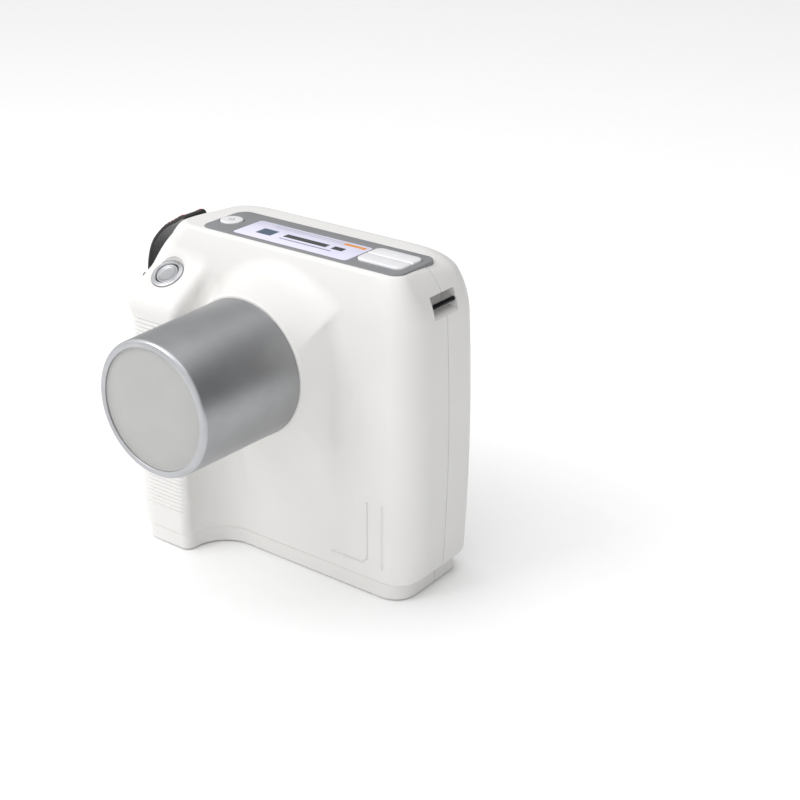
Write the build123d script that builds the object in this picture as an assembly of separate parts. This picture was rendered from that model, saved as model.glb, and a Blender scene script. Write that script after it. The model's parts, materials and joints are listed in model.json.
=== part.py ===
from build123d import *
import os
from math import cos, sin, tan, radians, pi

# Handheld intraoral x-ray unit, millimetres.
# +Z is up, the beam leaves along -Y through the cone, +X is the side away from the hand grip.
# The origin is on the surface that the unit stands on, under the middle of its bounding box.

# ---------------------------------------------------------------- housing
body_width = 176.0
body_height = 178.0
body_depth = 60.0          # front face to rear face
cone_reach = 90.0          # front face to cone tip
wall = 2.5
front_shell_depth = 31.0   # front face to the parting plane
side_belly = 2.0           # how far the sides swell between their ends
shoulder_run = 16.0        # top corner, measured along X
shoulder_drop = 31.0       # top corner, measured along Z
front_corner_r = 17.0
rear_corner_r = 14.0
brow_run = 6.5             # sloping face below the top panel
brow_drop = 21.0
brow_r = 20.0
top_rear_r = 8.0

# ---------------------------------------------------------------- foot
foot_height = 10.0
foot_inset = 5.5
foot_front_inset = 0.6
pad_d = 12.0
pad_t = 1.5
pad_proud = 0.5
pad_inset_x = 14.0
pad_inset_y = 13.0

# ---------------------------------------------------------------- hand grip and cone boss
grip_reach = 26.0          # stands this far in front of the front face
grip_width = 42.0
grip_corner_r = 14.0
grip_inner_r = 4.0
valley_r = 21.0            # finger valley beside the grip
grip_slope = 32.0          # degrees, the shoulder that carries the trigger
boss_reach = 24.0
boss_foot_r = 50.0
boss_top_drop = 11.0       # top of the housing to the boss's flat top
boss_front_wall = 3.5
hump_half_width = 37.0
hump_drop = 75.0           # cone axis to the hump's lower end
hump_shoulder_drop = 28.0  # cone axis to the end of its full height
hump_step = 5.0            # behind the boss's front face

# ---------------------------------------------------------------- cone
cone_axis_drop = 55.0      # top of the housing to the cone's axis
cone_tip_r = 35.0
cone_base_r = 36.4
cone_bore_r = 33.0
cone_edge_r = 2.0
lip_r = 31.15
lip_t = 1.0
window_t = 1.5
liner_t = 1.1
spigot_r = 34.2
retainer_t = 2.5
retainer_w = 3.0
snout_gap = 1.5            # retainer to the tank's snout
filter_t = 1.5
collimator_t = 3.0
collimator_r = 7.0

# ---------------------------------------------------------------- top panel and its keys
panel_x = 129.7
panel_y = 34.8
panel_corner_r = 7.0
panel_centre_x = 7.5
panel_setback = 24.4       # front face to the panel's centre
panel_t = 2.2
panel_proud = 0.2
seat_t = 4.4               # housing thickness under the panel's edge
seat_margin = 4.0
ledge_x = 1.0
ledge_y = 3.0
pillar_r = 2.2
label_x = 75.0
label_y = 23.6
label_t = 0.4
label_centre_x = 0.2
label_shift_y = -2.2       # from the panel's centre line
power_d = 12.5
power_centre_x = -50.0
keys_x = 28.6
keys_y = 20.5
keys_centre_x = 54.0
keys_shift_y = 0.9
keys_corner_r = 3.0
key_gap = 0.35
key_proud = 1.2
key_travel = 0.8
tab_t = 1.0
tab_reach = 1.0
stem_r = 2.0
stem_l = 5.0
pillar_x = (-36.0, 0.0, 33.0)
pillar_y = 10.0
board_drop = 4.0           # ends of the stems to the switch board

# ---------------------------------------------------------------- trigger
trigger_rise = 30.8        # above the cone axis
trigger_setback = 8.5      # in front of the front face
collar_t = 2.2
collar_l = 9.0
trigger_ring_t = 4.0
trigger_ring_proud = 0.9
trigger_r = 6.2
trigger_ring_r = trigger_r + 2.9
trigger_t = 5.0
trigger_proud = 0.6
trigger_travel = 1.6
trigger_flange_r = trigger_r + 1.4
trigger_flange_t = 1.2
trigger_stem_r = 2.4
trigger_stem_l = 11.0
trigger_dish_r = 22.0
bracket_drop = 7.0         # flange to the bracket at rest
bracket_t = 1.5
bracket_x = 22.0
bracket_y = 17.0
spring_r = 4.4
spring_wire_r = 0.35
spring_turns = 5

# ---------------------------------------------------------------- strap lugs and strap
lug_y = 20.0               # recess, along Y
lug_z = 10.4
lug_deep = 12.0            # from the widest line of the side
lug_drop = 17.0            # top of the housing to the recess's centre
lug_block = 3.0            # thickness of the pocket's walls
pin_r = 1.25
pin_deep = 4.2             # pin's axis below the side
pin_drop = 1.3             # pin's axis below the recess's centre
pin_hold = 2.0             # length of pin held at each end
strap_w = 17.0
strap_t = 1.8
strap_fold_r = 2.4
ring_x = 24.5              # D-ring, along its bar
ring_z = 11.0
ring_wire_r = 1.1
clamp_x = 7.4
clamp_y = 12.0
clamp_z = 13.0
clamp_overlap = 4.0        # clamp above the ring's lower bar
wrist_cord_d = 5.0

# The wrist cord's route from the clamp, round its hanging bend and back: offsets from the clamp's mouth.
wrist_cord_route = [
    (0.0, -3.0, 0.0), (0.0, -3.0, -20.0), (3.0, -10.5, -40.0), (7.0, -18.0, -59.0), (9.0, -18.0, -78.0),
    (7.0, -4.5, -93.0), (3.5, 14.5, -92.0), (0.5, 23.0, -75.0), (-1.5, 17.0, -54.0), (-1.5, 7.5, -37.0),
    (0.0, 3.0, -19.0), (0.0, 3.0, 0.0),
]

# ---------------------------------------------------------------- inside
tank_x = 86.0
tank_z = 62.0
tank_y = 44.0
tank_wall = 5.0
tank_cover_t = 3.0
tank_corner_r = 5.0
tank_screw_inset_x = 8.0
tank_screw_inset_z = 2.8
snout_r = 26.0
port_r = 15.0
chassis_t = 2.0
chassis_low_z = 14.0
tube_r = 16.0
tube_l = 64.0
cell_d = 18.4
cell_l = 65.0
cell_rows = 3
battery_wall = 1.2
battery_low_z = 15.0
board_t = 1.6
board_x = 120.0
board_low_z = 24.0
board_z = 58.0
chip_sizes = [             # X, Z of the centre, width, height, thickness
    (-22.0, 18.0, 20.0, 20.0, 1.6), (10.0, 20.0, 14.0, 14.0, 1.6),
    (32.0, 36.0, 12.0, 18.0, 4.0), (-10.0, 44.0, 26.0, 8.0, 2.4),
]
board_setback = 13.0       # rear face to the board
board_post_r = 3.0
board_screw_inset = 5.0
display_x = 56.0
display_z = 36.0
display_drop = 50.0        # top of the housing to the display's centre
display_t = 1.5
display_frame = 4.0
socket_centre_z = 30.0
socket_r = 3.9
socket_setback = 20.0      # rear face to the socket's axis
screw_r = 1.5
screw_head_r = 2.8
screw_head_t = 2.0
case_screw_drops = (94.0, 32.0)   # top of the housing to the two upper pairs
post_r = 4.2
post_l = 20.0             # in front of the parting plane
rib_t = 2.0

# ---------------------------------------------------------------- clearances
press_gap = 0.05           # pieces fixed to each other
slip_gap = 0.3             # pieces that move past each other
seat_gap = 0.2             # room round an inlaid piece

# ---------------------------------------------------------------- places worked out
back_y = (cone_reach + body_depth) / 2
front_y = back_y - body_depth
tip_y = front_y - cone_reach
boss_y = front_y - boss_reach
grip_y = front_y - grip_reach
cone_axis_z = body_height - cone_axis_drop
boss_top_z = body_height - boss_top_drop
display_centre_z = body_height - display_drop
lug_centre_z = body_height - lug_drop
parting_y = front_y + front_shell_depth
base_z = pad_proud
half_x = body_width / 2
grip_in_x = -half_x + grip_width
trigger_centre_x = -half_x + grip_width / 2
chassis_half_x = -(trigger_centre_x + bracket_x / 2)   # the plate reaches the trigger's bracket
panel_cy = front_y + panel_setback
keys_cy = panel_cy + keys_shift_y
slope_tan = tan(radians(grip_slope))
trigger_cy = front_y - trigger_setback
trigger_cz = cone_axis_z + trigger_rise
chassis_y = front_y + wall + 0.4
tank_y0 = chassis_y + chassis_t
tank_cover_y = tank_y0 + tank_y
snout_y = boss_y + boss_front_wall + retainer_t + snout_gap
board_y = back_y - board_setback
far = 300.0

trigger_plane = Plane(
    origin=(trigger_centre_x, trigger_cy, trigger_cz),
    x_dir=(1, 0, 0),
    z_dir=(0, -sin(radians(grip_slope)), cos(radians(grip_slope))),
)


def block(x0, x1, y0, y1, z0, z1):
    """Box between two corners."""
    size = (x1 - x0, y1 - y0, z1 - z0)
    return Pos((x0 + x1) / 2, (y0 + y1) / 2, (z0 + z1) / 2) * Box(*size)


def rod_y(x, z, y0, y1, r):
    """Cylinder along Y."""
    return Pos(x, (y0 + y1) / 2, z) * Rot(90, 0, 0) * Cylinder(r, y1 - y0)


def rod_x(y, z, x0, x1, r):
    """Cylinder along X."""
    return Pos((x0 + x1) / 2, y, z) * Rot(0, 90, 0) * Cylinder(r, x1 - x0)


def rod_z(x, y, z0, z1, r):
    """Cylinder along Z."""
    return Pos(x, y, (z0 + z1) / 2) * Cylinder(r, z1 - z0)


def rounded_block(cx, cy, size_x, size_y, z0, z1, r):
    """Upright box with rounded vertical edges."""
    outline = Pos(cx, cy, z0) * RectangleRounded(size_x, size_y, r)
    return extrude(outline, z1 - z0, dir=(0, 0, 1))


def cone_revolve(points):
    """Solid of revolution about the cone axis, from (radius, y) points."""
    profile = Polyline(*[(r, y, 0) for r, y in points], close=True)
    solid = revolve(make_face(profile), Axis.Y)
    return Pos(0, 0, cone_axis_z) * solid


# ---------------------------------------------------------------- housing shape
def front_view(inset):
    """Front outline of the body above the foot: swelling sides, sloped top corners."""
    half = half_x - inset
    low = foot_height + inset
    top = body_height - inset
    corner = body_height - shoulder_drop
    top_half = half_x - shoulder_run - inset * 0.6
    middle = (foot_height + corner) / 2
    bulge = (half_x - shoulder_run / 4 - side_belly / 2 - inset, corner + shoulder_drop * 0.55)
    tuck = side_belly + 4.0
    right = [
        ThreePointArc((half - side_belly, corner), bulge, (top_half, top)),
        ThreePointArc((half - side_belly, foot_height + 6.0), (half, middle), (half - side_belly, corner)),
        Line((half - tuck, low), (half - side_belly, foot_height + 6.0)),
    ]
    left = [edge.mirror(Plane.YZ) for edge in right]
    ends = [Line((-top_half, top), (top_half, top)), Line((tuck - half, low), (half - tuck, low))]
    return extrude(Plane.XZ * make_face(Curve(children=right + left + ends).edges()), far, both=True)


def side_view(inset):
    """Side outline: upright front, sloping brow, rounded top rear edge."""
    y0 = front_y + inset
    y1 = back_y - inset
    top = body_height - inset
    outline = Polyline(
        (y0, 0), (y0, body_height - brow_drop), (y0 + brow_run, top), (y1, top), (y1, 0), close=True
    )
    face = make_face(outline)
    rear = face.vertices().filter_by(lambda v: v.X > y1 - 1 and v.Y > top - 1)
    face = fillet(rear, top_rear_r - inset)
    brow = face.vertices().filter_by(lambda v: v.X < y0 + 0.01 and v.Y > 1)
    face = fillet(brow, brow_r)
    return extrude(Plane.YZ * face, far, both=True)


def plan_view(side, front, rear, corner_cut):
    """Plan of the body with its vertical corners rounded."""
    x1 = half_x - side
    y0 = front_y + front
    y1 = back_y - rear
    face = Pos(0, (y0 + y1) / 2) * Rectangle(2 * x1, y1 - y0)
    face = fillet(face.vertices().group_by(Axis.Y)[0], front_corner_r - corner_cut)
    face = fillet(face.vertices().group_by(Axis.Y)[-1], rear_corner_r - corner_cut)
    return face


def grip_plan(side, front, inset):
    """Plan of the grip with the concave finger valley beside it."""
    x0 = -half_x + side
    x1 = grip_in_x - inset
    y0 = grip_y + front
    y1 = front_y + front_corner_r + inset
    face = Pos((x0 + x1) / 2, (y0 + y1) / 2) * Rectangle(x1 - x0, y1 - y0)
    front_left = face.vertices().group_by(Axis.Y)[0].sort_by(Axis.X)[0]
    face = fillet(front_left, grip_corner_r - inset)
    front_right = face.vertices().filter_by(lambda v: v.X > x1 - 0.01).sort_by(Axis.Y)[0]
    face = fillet(front_right, grip_inner_r)
    cx = grip_in_x + valley_r
    cy = front_y - valley_r
    web = Pos((x1 + cx) / 2, (cy + front_y + inset) / 2) * Rectangle(cx - x1, front_y + inset - cy)
    return face + (web - Pos(cx, cy) * Circle(valley_r + inset))


def grip_side(inset):
    """Side outline of the grip: upright front and the sloping trigger shoulder."""
    y0 = grip_y - 1
    y1 = front_y + front_corner_r + 8.0

    def shoulder_z(y):
        return trigger_cz + (y - trigger_cy) * slope_tan - inset / cos(radians(grip_slope))

    outline = Polyline((y0, 0), (y0, shoulder_z(y0)), (y1, shoulder_z(y1)), (y1, 0), close=True)
    return extrude(Plane.YZ * make_face(outline), far, both=True)


def cone_boss(inset):
    """Flared boss round the cone's base."""
    front_r = cone_base_r + 1.2 - inset
    face_y = boss_y + (boss_front_wall if inset else 0)
    points = [(0, face_y), (front_r, face_y), (boss_foot_r - inset, front_y + inset), (0, front_y + inset)]
    top = block(-far, far, -far, far, 0, boss_top_z - inset)
    return cone_revolve(points) & top


def hump(inset):
    """Swelling below the boss that fades into the front face."""
    root_y = front_y + inset + 1
    crest_y = boss_y + hump_step + inset
    outline = Polyline(
        (root_y, cone_axis_z - hump_drop + inset),
        (crest_y, cone_axis_z - hump_shoulder_drop),
        (crest_y, cone_axis_z),
        (root_y, cone_axis_z),
        close=True,
    )
    return extrude(Plane.YZ * make_face(outline), hump_half_width - inset, both=True)


def housing_solid(inset):
    """The whole housing, moved in from its surface by inset."""
    low = base_z + inset
    upright = extrude(plan_view(inset, inset, inset, inset), far, dir=(0, 0, 1))
    body = upright & front_view(inset)
    body = body & side_view(inset)
    grip = extrude(grip_plan(inset, inset, inset), far, dir=(0, 0, 1)) & front_view(inset)
    grip = grip & grip_side(inset)
    inner_side = foot_inset + inset
    foot_plan = plan_view(inner_side, foot_front_inset + inset, foot_inset + inset, inset + 3)
    foot_grip = grip_plan(inner_side, foot_front_inset + inset, inset)
    foot_top = foot_height + 2 * wall - low
    foot = extrude(Pos(0, 0, low) * (foot_plan + foot_grip), foot_top, dir=(0, 0, 1))
    return body + grip + foot + cone_boss(inset) + hump(inset)


def lug_pocket(side):
    """Block that closes the strap recess off from the inside."""
    x0 = half_x - side_belly - lug_deep - lug_block
    y0 = parting_y - lug_y / 2 - lug_block
    y1 = parting_y + lug_y / 2 + lug_block
    z0 = lug_centre_z - lug_z / 2 - lug_block
    z1 = lug_centre_z + lug_z / 2 + lug_block
    return block(min(side * x0, side * far), max(side * x0, side * far), y0, y1, z0, z1)


def lug_recess(side):
    """The strap recess itself, open to the side."""
    x0 = half_x - side_belly - lug_deep
    y0 = parting_y - lug_y / 2
    y1 = parting_y + lug_y / 2
    z0 = lug_centre_z - lug_z / 2
    z1 = lug_centre_z + lug_z / 2
    return block(min(side * x0, side * far), max(side * x0, side * far), y0, y1, z0, z1)


def pin_place(side):
    """X and Z of a strap pin's axis."""
    return side * (half_x - side_belly - pin_deep), lug_centre_z - pin_drop


def case_screw_places():
    """X, Z of the six case screws."""
    low_z = foot_height + wall + post_r + 3
    x = half_x - side_belly - wall - post_r - 3
    middle_z, high_z = (body_height - drop for drop in case_screw_drops)
    return [(-x, low_z), (x, low_z), (-x, middle_z), (x, middle_z), (-x + 4, high_z), (x - 4, high_z)]


def pad_places():
    """X, Y of the four foot pads."""
    x = half_x - foot_inset - pad_inset_x
    y0 = front_y + pad_inset_y
    y1 = back_y - foot_inset - pad_inset_y
    return [(-x, y0 - grip_reach), (x, y0), (-x, y1), (x, y1)]


def display_opening(margin, y0, y1):
    """Upright rectangular block in the rear wall at the display."""
    half = display_x / 2 + margin
    z = display_z / 2 + margin
    return block(-half, half, y0, y1, display_centre_z - z, display_centre_z + z)


def board_posts_places():
    """X, Z of the main board's screws."""
    x = board_x / 2 - board_screw_inset
    z0 = board_low_z + board_screw_inset
    z1 = board_low_z + board_z - board_screw_inset
    return [(-x, z0), (x, z0), (-x, z1), (x, z1)]


def panel_opening():
    """Recess and through opening for the top panel."""
    recess_z = body_height + panel_proud - panel_t
    recess = rounded_block(
        panel_centre_x, panel_cy, panel_x + 2 * press_gap, panel_y + 2 * press_gap,
        recess_z, body_height + 5, panel_corner_r,
    )
    through = rounded_block(
        panel_centre_x, panel_cy, panel_x - 2 * ledge_x, panel_y - 2 * ledge_y,
        body_height - 20, body_height + 5, panel_corner_r - ledge_x,
    )
    return recess + through


def panel_seat():
    """Thicker housing wall under the top panel's edge."""
    return rounded_block(
        panel_centre_x, panel_cy, panel_x + 2 * seat_margin, panel_y + 2 * seat_margin,
        body_height - seat_t, body_height, panel_corner_r,
    )


def trigger_collar():
    """Tube inside the grip that holds the trigger ring."""
    return trigger_plane * Pos(0, 0, -collar_l / 2 - 0.5) * Cylinder(trigger_ring_r + collar_t, collar_l)


def housing():
    """Both shells before they are parted."""
    outer = housing_solid(0)
    body = outer - housing_solid(wall)
    extras = [lug_pocket(1), lug_pocket(-1), panel_seat(), trigger_collar()]
    for x, z in case_screw_places():
        extras.append(rod_y(x, z, parting_y - post_l, back_y - 1, post_r))
        rib = sorted((x, x + (far if x > 0 else -far)))
        extras.append(block(*rib, parting_y - post_l, parting_y, z - rib_t / 2, z + rib_t / 2))
    for x, z in board_posts_places():
        extras.append(rod_y(x, z, board_y + board_t, back_y - 1, board_post_r))
    for extra in extras:
        body += extra & outer
    body -= lug_recess(1)
    body -= lug_recess(-1)
    for side in (-1, 1):
        x, z = pin_place(side)
        reach = lug_y / 2 + pin_hold + press_gap
        body -= rod_y(x, z, parting_y - reach, parting_y + reach, pin_r + press_gap)
    body -= panel_opening()
    body -= trigger_plane * Pos(0, 0, -5) * Cylinder(trigger_ring_r + press_gap, 30)
    body -= rod_y(0, cone_axis_z, boss_y - 1, boss_y + boss_front_wall + 1, spigot_r + press_gap)
    body -= display_opening(press_gap, back_y - display_t, back_y + 1)
    body -= display_opening(-1.2, back_y - 6, back_y + 1)
    for x, z in case_screw_places():
        body -= rod_y(x, z, parting_y - 12, back_y + 1, screw_r + press_gap)
        body -= rod_y(x, z, back_y - wall - 2.0, back_y + 1, screw_head_r + seat_gap)
    for x, z in board_posts_places():
        body -= rod_y(x, z, board_y, board_y + board_t + 5.5, screw_r + press_gap)
    for x, y in pad_places():
        body -= rod_z(x, y, -1, pad_t, pad_d / 2 + press_gap)
    body -= rod_x(back_y - socket_setback, socket_centre_z, -half_x - 2, -half_x + 12, socket_r + press_gap)
    return body


def shells():
    """Front and rear shells, parted on one plane."""
    body = housing()
    front = body & block(-far, far, -far, parting_y, -far, far)
    rear = body & block(-far, far, parting_y, far, -far, far)
    return front, rear


# ---------------------------------------------------------------- cone
def cone_barrel():
    """Turned metal cone with a lip in front and a spigot behind."""
    end_y = boss_y + boss_front_wall + retainer_t
    e = cone_edge_r
    points = [
        (lip_r, tip_y), (cone_tip_r - e, tip_y), (cone_tip_r - 0.6, tip_y + 0.6), (cone_tip_r, tip_y + e),
        (cone_base_r, boss_y), (spigot_r, boss_y), (spigot_r, end_y), (cone_bore_r, end_y),
        (cone_bore_r, tip_y + lip_t), (lip_r, tip_y + lip_t),
    ]
    return cone_revolve(points)


def cone_window():
    """Flat disc behind the lip."""
    y0 = tip_y + lip_t
    return rod_y(0, cone_axis_z, y0, y0 + window_t, cone_bore_r - press_gap)


def cone_liner():
    """Lead tube that lines the cone."""
    y0 = tip_y + lip_t + window_t
    y1 = boss_y + 1
    outer = cone_bore_r - press_gap
    return rod_y(0, cone_axis_z, y0, y1, outer) - rod_y(0, cone_axis_z, y0 - 1, y1 + 1, outer - liner_t)


def cone_retainer():
    """Ring that clamps the cone's spigot from inside the boss."""
    y0 = boss_y + boss_front_wall
    ring = rod_y(0, cone_axis_z, y0, y0 + retainer_t, spigot_r + retainer_w)
    bore = rod_y(0, cone_axis_z, y0 - 1, y0 + retainer_t + 1, spigot_r + press_gap)
    return ring & cone_boss(wall + 0.1) - bore


# ---------------------------------------------------------------- top panel
def top_panel():
    """Inlaid panel with its openings and the pillars for the switch board."""
    z1 = body_height + panel_proud
    z0 = z1 - panel_t
    panel = rounded_block(panel_centre_x, panel_cy, panel_x, panel_y, z0, z1, panel_corner_r - press_gap)
    for x in pillar_x:
        for y in (-pillar_y, pillar_y):
            panel += rod_z(x, panel_cy + y, top_board_z() + board_t, z0 + 0.5, pillar_r)
    panel -= rod_z(power_centre_x, panel_cy, z0 - 1, z1 + 1, power_d / 2 + slip_gap)
    panel -= rounded_block(
        keys_centre_x, keys_cy, keys_x + 2 * slip_gap, keys_y + 2 * slip_gap, z0 - 1, z1 + 1, keys_corner_r
    )
    label = rounded_block(
        label_centre_x, panel_cy + label_shift_y, label_x + 2 * press_gap, label_y + 2 * press_gap,
        z1 - label_t, z1 + 1, 2.0,
    )
    return panel - label


def top_label():
    """Printed film in its shallow pocket."""
    z1 = body_height + panel_proud
    y = panel_cy + label_shift_y
    return rounded_block(label_centre_x, y, label_x, label_y, z1 - label_t, z1, 2.0)


def top_board_z():
    """Underside of the switch board."""
    return body_height + panel_proud - panel_t - key_travel - tab_t - stem_l - board_drop


def power_button():
    """Round key with two small tabs that keep it under the panel."""
    z0 = body_height + panel_proud - panel_t
    top = body_height + panel_proud + key_proud * 0.5
    cap = rod_z(power_centre_x, panel_cy, z0 - tab_t, top, power_d / 2)
    reach = power_d / 2 + slip_gap + tab_reach
    tabs = block(
        power_centre_x - 2, power_centre_x + 2, panel_cy - reach, panel_cy + reach, z0 - tab_t - 0.2, z0 - 0.2
    )
    stem = rod_z(power_centre_x, panel_cy, z0 - tab_t - stem_l, z0, stem_r)
    return cap + tabs + stem


def rocker_key(side):
    """One of the two keys that share an opening: side is +1 at the back, -1 in front."""
    z0 = body_height + panel_proud - panel_t
    top = body_height + panel_proud + key_proud
    cy = keys_cy
    whole = rounded_block(keys_centre_x, cy, keys_x, keys_y, z0 - tab_t, top, keys_corner_r)
    y0 = cy + key_gap / 2 if side > 0 else cy - keys_y
    y1 = cy + keys_y if side > 0 else cy - key_gap / 2
    key = whole & block(-far, far, y0, y1, -far, far)
    mid = cy + side * keys_y / 4
    reach = keys_x / 2 + slip_gap + tab_reach
    tabs = block(keys_centre_x - reach, keys_centre_x + reach, mid - 2, mid + 2, z0 - tab_t - 0.2, z0 - 0.2)
    stem = rod_z(keys_centre_x, mid, z0 - tab_t - stem_l, z0, stem_r)
    return key + tabs + stem


def switch_places():
    """X, Y under the power button and the two keys."""
    return [
        (power_centre_x, panel_cy),
        (keys_centre_x, keys_cy + keys_y / 4),
        (keys_centre_x, keys_cy - keys_y / 4),
    ]


def top_board():
    """Switch board that hangs from the panel's pillars."""
    z0 = top_board_z()
    size_x = panel_x - 2 * ledge_x - 3.0
    size_y = panel_y - 2 * ledge_y - 1.5
    return rounded_block(panel_centre_x, panel_cy, size_x, size_y, z0, z0 + board_t, 1.5)


def top_switches():
    """Dome switches on the board, one under each stem."""
    z0 = top_board_z() + board_t
    solids = []
    for x, y in switch_places():
        base = block(x - 3, x + 3, y - 3, y + 3, z0, z0 + 1.4)
        solids.append(base + rod_z(x, y, z0 + 1, z0 + 1.9, 1.6))
    return Compound(children=solids)


# ---------------------------------------------------------------- trigger
def trigger_ring():
    """Bezel pressed into the sloping shoulder of the grip."""
    z1 = trigger_ring_proud
    z0 = z1 - trigger_ring_t
    ring = Pos(0, 0, (z0 + z1) / 2) * Cylinder(trigger_ring_r, trigger_ring_t)
    ring = chamfer(ring.edges().group_by(Axis.Z)[-1], 0.5)
    ring -= Pos(0, 0, (z0 + z1) / 2) * Cylinder(trigger_r + slip_gap, trigger_ring_t + 2)
    return trigger_plane * ring


def trigger_button():
    """Dished button with a flange under the bezel and a stem down to its switch."""
    z1 = trigger_proud
    flange_z = trigger_ring_proud - trigger_ring_t - slip_gap
    cap = Pos(0, 0, (z1 + flange_z) / 2) * Cylinder(trigger_r, z1 - flange_z)
    cap -= Pos(0, 0, z1 - 0.7 + trigger_dish_r) * Sphere(trigger_dish_r)
    flange = Pos(0, 0, flange_z - trigger_flange_t / 2) * Cylinder(trigger_flange_r, trigger_flange_t)
    stem = Pos(0, 0, flange_z - trigger_stem_l / 2) * Cylinder(trigger_stem_r, trigger_stem_l)
    return trigger_plane * (cap + flange + stem)


def trigger_floor():
    """Depth of the bracket's face below the shoulder, along the trigger's axis."""
    return trigger_ring_proud - trigger_ring_t - slip_gap - trigger_flange_t - bracket_drop


def trigger_spring():
    """Coil spring between the button's flange and its bracket."""
    z0 = trigger_floor() + spring_wire_r + 0.05
    z1 = trigger_ring_proud - trigger_ring_t - slip_gap - trigger_flange_t - spring_wire_r - 0.05
    height = z1 - z0
    path = Helix(pitch=height / spring_turns, height=height, radius=spring_r)
    start = Plane(origin=path @ 0, z_dir=path % 0)
    coil = sweep(start * Circle(spring_wire_r), path=path, is_frenet=True)
    return trigger_plane * Pos(0, 0, z0) * coil


def trigger_bracket():
    """Plate across the trigger's collar with a hole for the stem."""
    z1 = trigger_floor()
    plate = Pos(0, 0, z1 - bracket_t / 2) * Box(bracket_x, bracket_y, bracket_t)
    plate -= Pos(0, 0, z1 - bracket_t / 2) * Cylinder(trigger_stem_r + slip_gap, 4)
    return trigger_plane * plate


def trigger_switch():
    """Snap switch hung under the bracket, below the stem."""
    stem_end = trigger_ring_proud - trigger_ring_t - slip_gap - trigger_stem_l
    top = stem_end - trigger_travel - slip_gap
    body = Pos(0, 0, top - 3.4) * Box(12.8, 6.0, 6.5)
    ears = []
    for side in (-1, 1):
        x = side * 8.4
        z0 = top - 6.6
        z1 = trigger_floor() - bracket_t
        ears.append(Pos(x, 0, (z0 + z1) / 2) * Box(4.0, 6.0, z1 - z0))
    return trigger_plane * (body + ears[0] + ears[1])


# ---------------------------------------------------------------- x-ray head
def chassis_plate():
    """Aluminium plate behind the front wall that carries the tank and the battery."""
    z1 = cone_axis_z + tank_z / 2 - 2
    plate = block(-chassis_half_x, chassis_half_x, chassis_y, chassis_y + chassis_t, chassis_low_z, z1)
    plate -= rod_y(0, cone_axis_z, chassis_y - 1, chassis_y + chassis_t + 1, snout_r + seat_gap)
    return plate


def tube_tank():
    """Oil-filled tank with a snout that carries the beam port."""
    z0 = cone_axis_z - tank_z / 2
    tank = block(-tank_x / 2, tank_x / 2, tank_y0, tank_cover_y, z0, z0 + tank_z)
    tank = fillet(tank.edges().filter_by(Axis.Y), tank_corner_r)
    tank += rod_y(0, cone_axis_z, snout_y, tank_y0 + 1, snout_r)
    w = tank_wall
    tank -= block(-tank_x / 2 + w, tank_x / 2 - w, tank_y0 + w, tank_cover_y + 1, z0 + w, z0 + tank_z - w)
    tank -= rod_y(0, cone_axis_z, -far, tank_y0 + w + 1, port_r)
    return tank


def tank_cover():
    """Rear cover of the tank."""
    z0 = cone_axis_z - tank_z / 2
    cover = block(-tank_x / 2, tank_x / 2, tank_cover_y, tank_cover_y + tank_cover_t, z0, z0 + tank_z)
    cover = fillet(cover.edges().filter_by(Axis.Y), tank_corner_r)
    for x, z in tank_screw_places():
        cover -= rod_y(x, z, tank_cover_y - 1, tank_cover_y + 5, screw_r + press_gap)
    return cover


def tank_screw_places():
    """X, Z of the tank cover's screws."""
    x = tank_x / 2 - tank_screw_inset_x
    z = tank_z / 2 - tank_screw_inset_z
    return [(sx * x, cone_axis_z + sz * z) for sz in (-1, 1) for sx in (-1, 1)]


def tank_screws():
    """Low heads of the tank cover's screws."""
    solids = []
    for x, z in tank_screw_places():
        shank = rod_y(x, z, tank_cover_y, tank_cover_y + tank_cover_t, screw_r)
        head_y = tank_cover_y + tank_cover_t
        solids.append(shank + rod_y(x, z, head_y, head_y + 1.0, screw_head_r))
    return Compound(children=solids)


def tube_centre_y():
    """Y of the x-ray tube's axis."""
    return tank_y0 + tank_y / 2 + 1


def tube_glass():
    """Glass envelope of the x-ray tube, hollow and closed."""
    y = tube_centre_y()
    outer = rod_x(y, cone_axis_z, -tube_l / 2, tube_l / 2, tube_r)
    outer = fillet(outer.edges(), 6.0)
    inner = rod_x(y, cone_axis_z, -tube_l / 2 + 1.5, tube_l / 2 - 1.5, tube_r - 1.5)
    return outer - fillet(inner.edges(), 4.5)


def anode():
    """Copper anode with its slanted target face."""
    y = tube_centre_y()
    rod = rod_x(y, cone_axis_z, 2, tube_l / 2 - 1.6, 9.0)
    cut = Pos(-6, y, cone_axis_z) * Rot(0, 0, -20) * Box(20, 60, 60)
    return rod - cut


def cathode_cup():
    """Cathode cup with the filament slot."""
    y = tube_centre_y()
    cup = rod_x(y, cone_axis_z, -tube_l / 2 + 1.6, -9, 7.0)
    return cup - block(-10.5, -8, y - 4, y + 4, cone_axis_z - 1, cone_axis_z + 1)


def beam_filter():
    """Aluminium filter disc in front of the snout's port."""
    y0 = snout_y + collimator_t
    return rod_y(0, cone_axis_z, y0, y0 + filter_t, port_r - press_gap)


def collimator():
    """Lead diaphragm that limits the beam."""
    y1 = snout_y + collimator_t
    disc = rod_y(0, cone_axis_z, snout_y, y1, port_r - press_gap)
    return disc - rod_y(0, cone_axis_z, snout_y - 1, y1 + 1, collimator_r)


def hv_transformer():
    """Ferrite transformer beside the tank."""
    x0 = tank_x / 2 + 4
    core = block(x0, x0 + 28, tank_y0 + 4, tank_y0 + 32, cone_axis_z - 20, cone_axis_z + 12)
    windows = block(x0 + 6, x0 + 22, tank_y0, tank_y0 + 40, cone_axis_z - 14, cone_axis_z + 6)
    return core - windows


def transformer_coil():
    """Winding through the transformer's core."""
    x0 = tank_x / 2 + 4
    coil = block(x0 + 6.4, x0 + 21.6, tank_y0 + 6, tank_y0 + 30, cone_axis_z - 13.6, cone_axis_z + 5.6)
    return fillet(coil.edges().filter_by(Axis.Y), 3.0)


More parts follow.
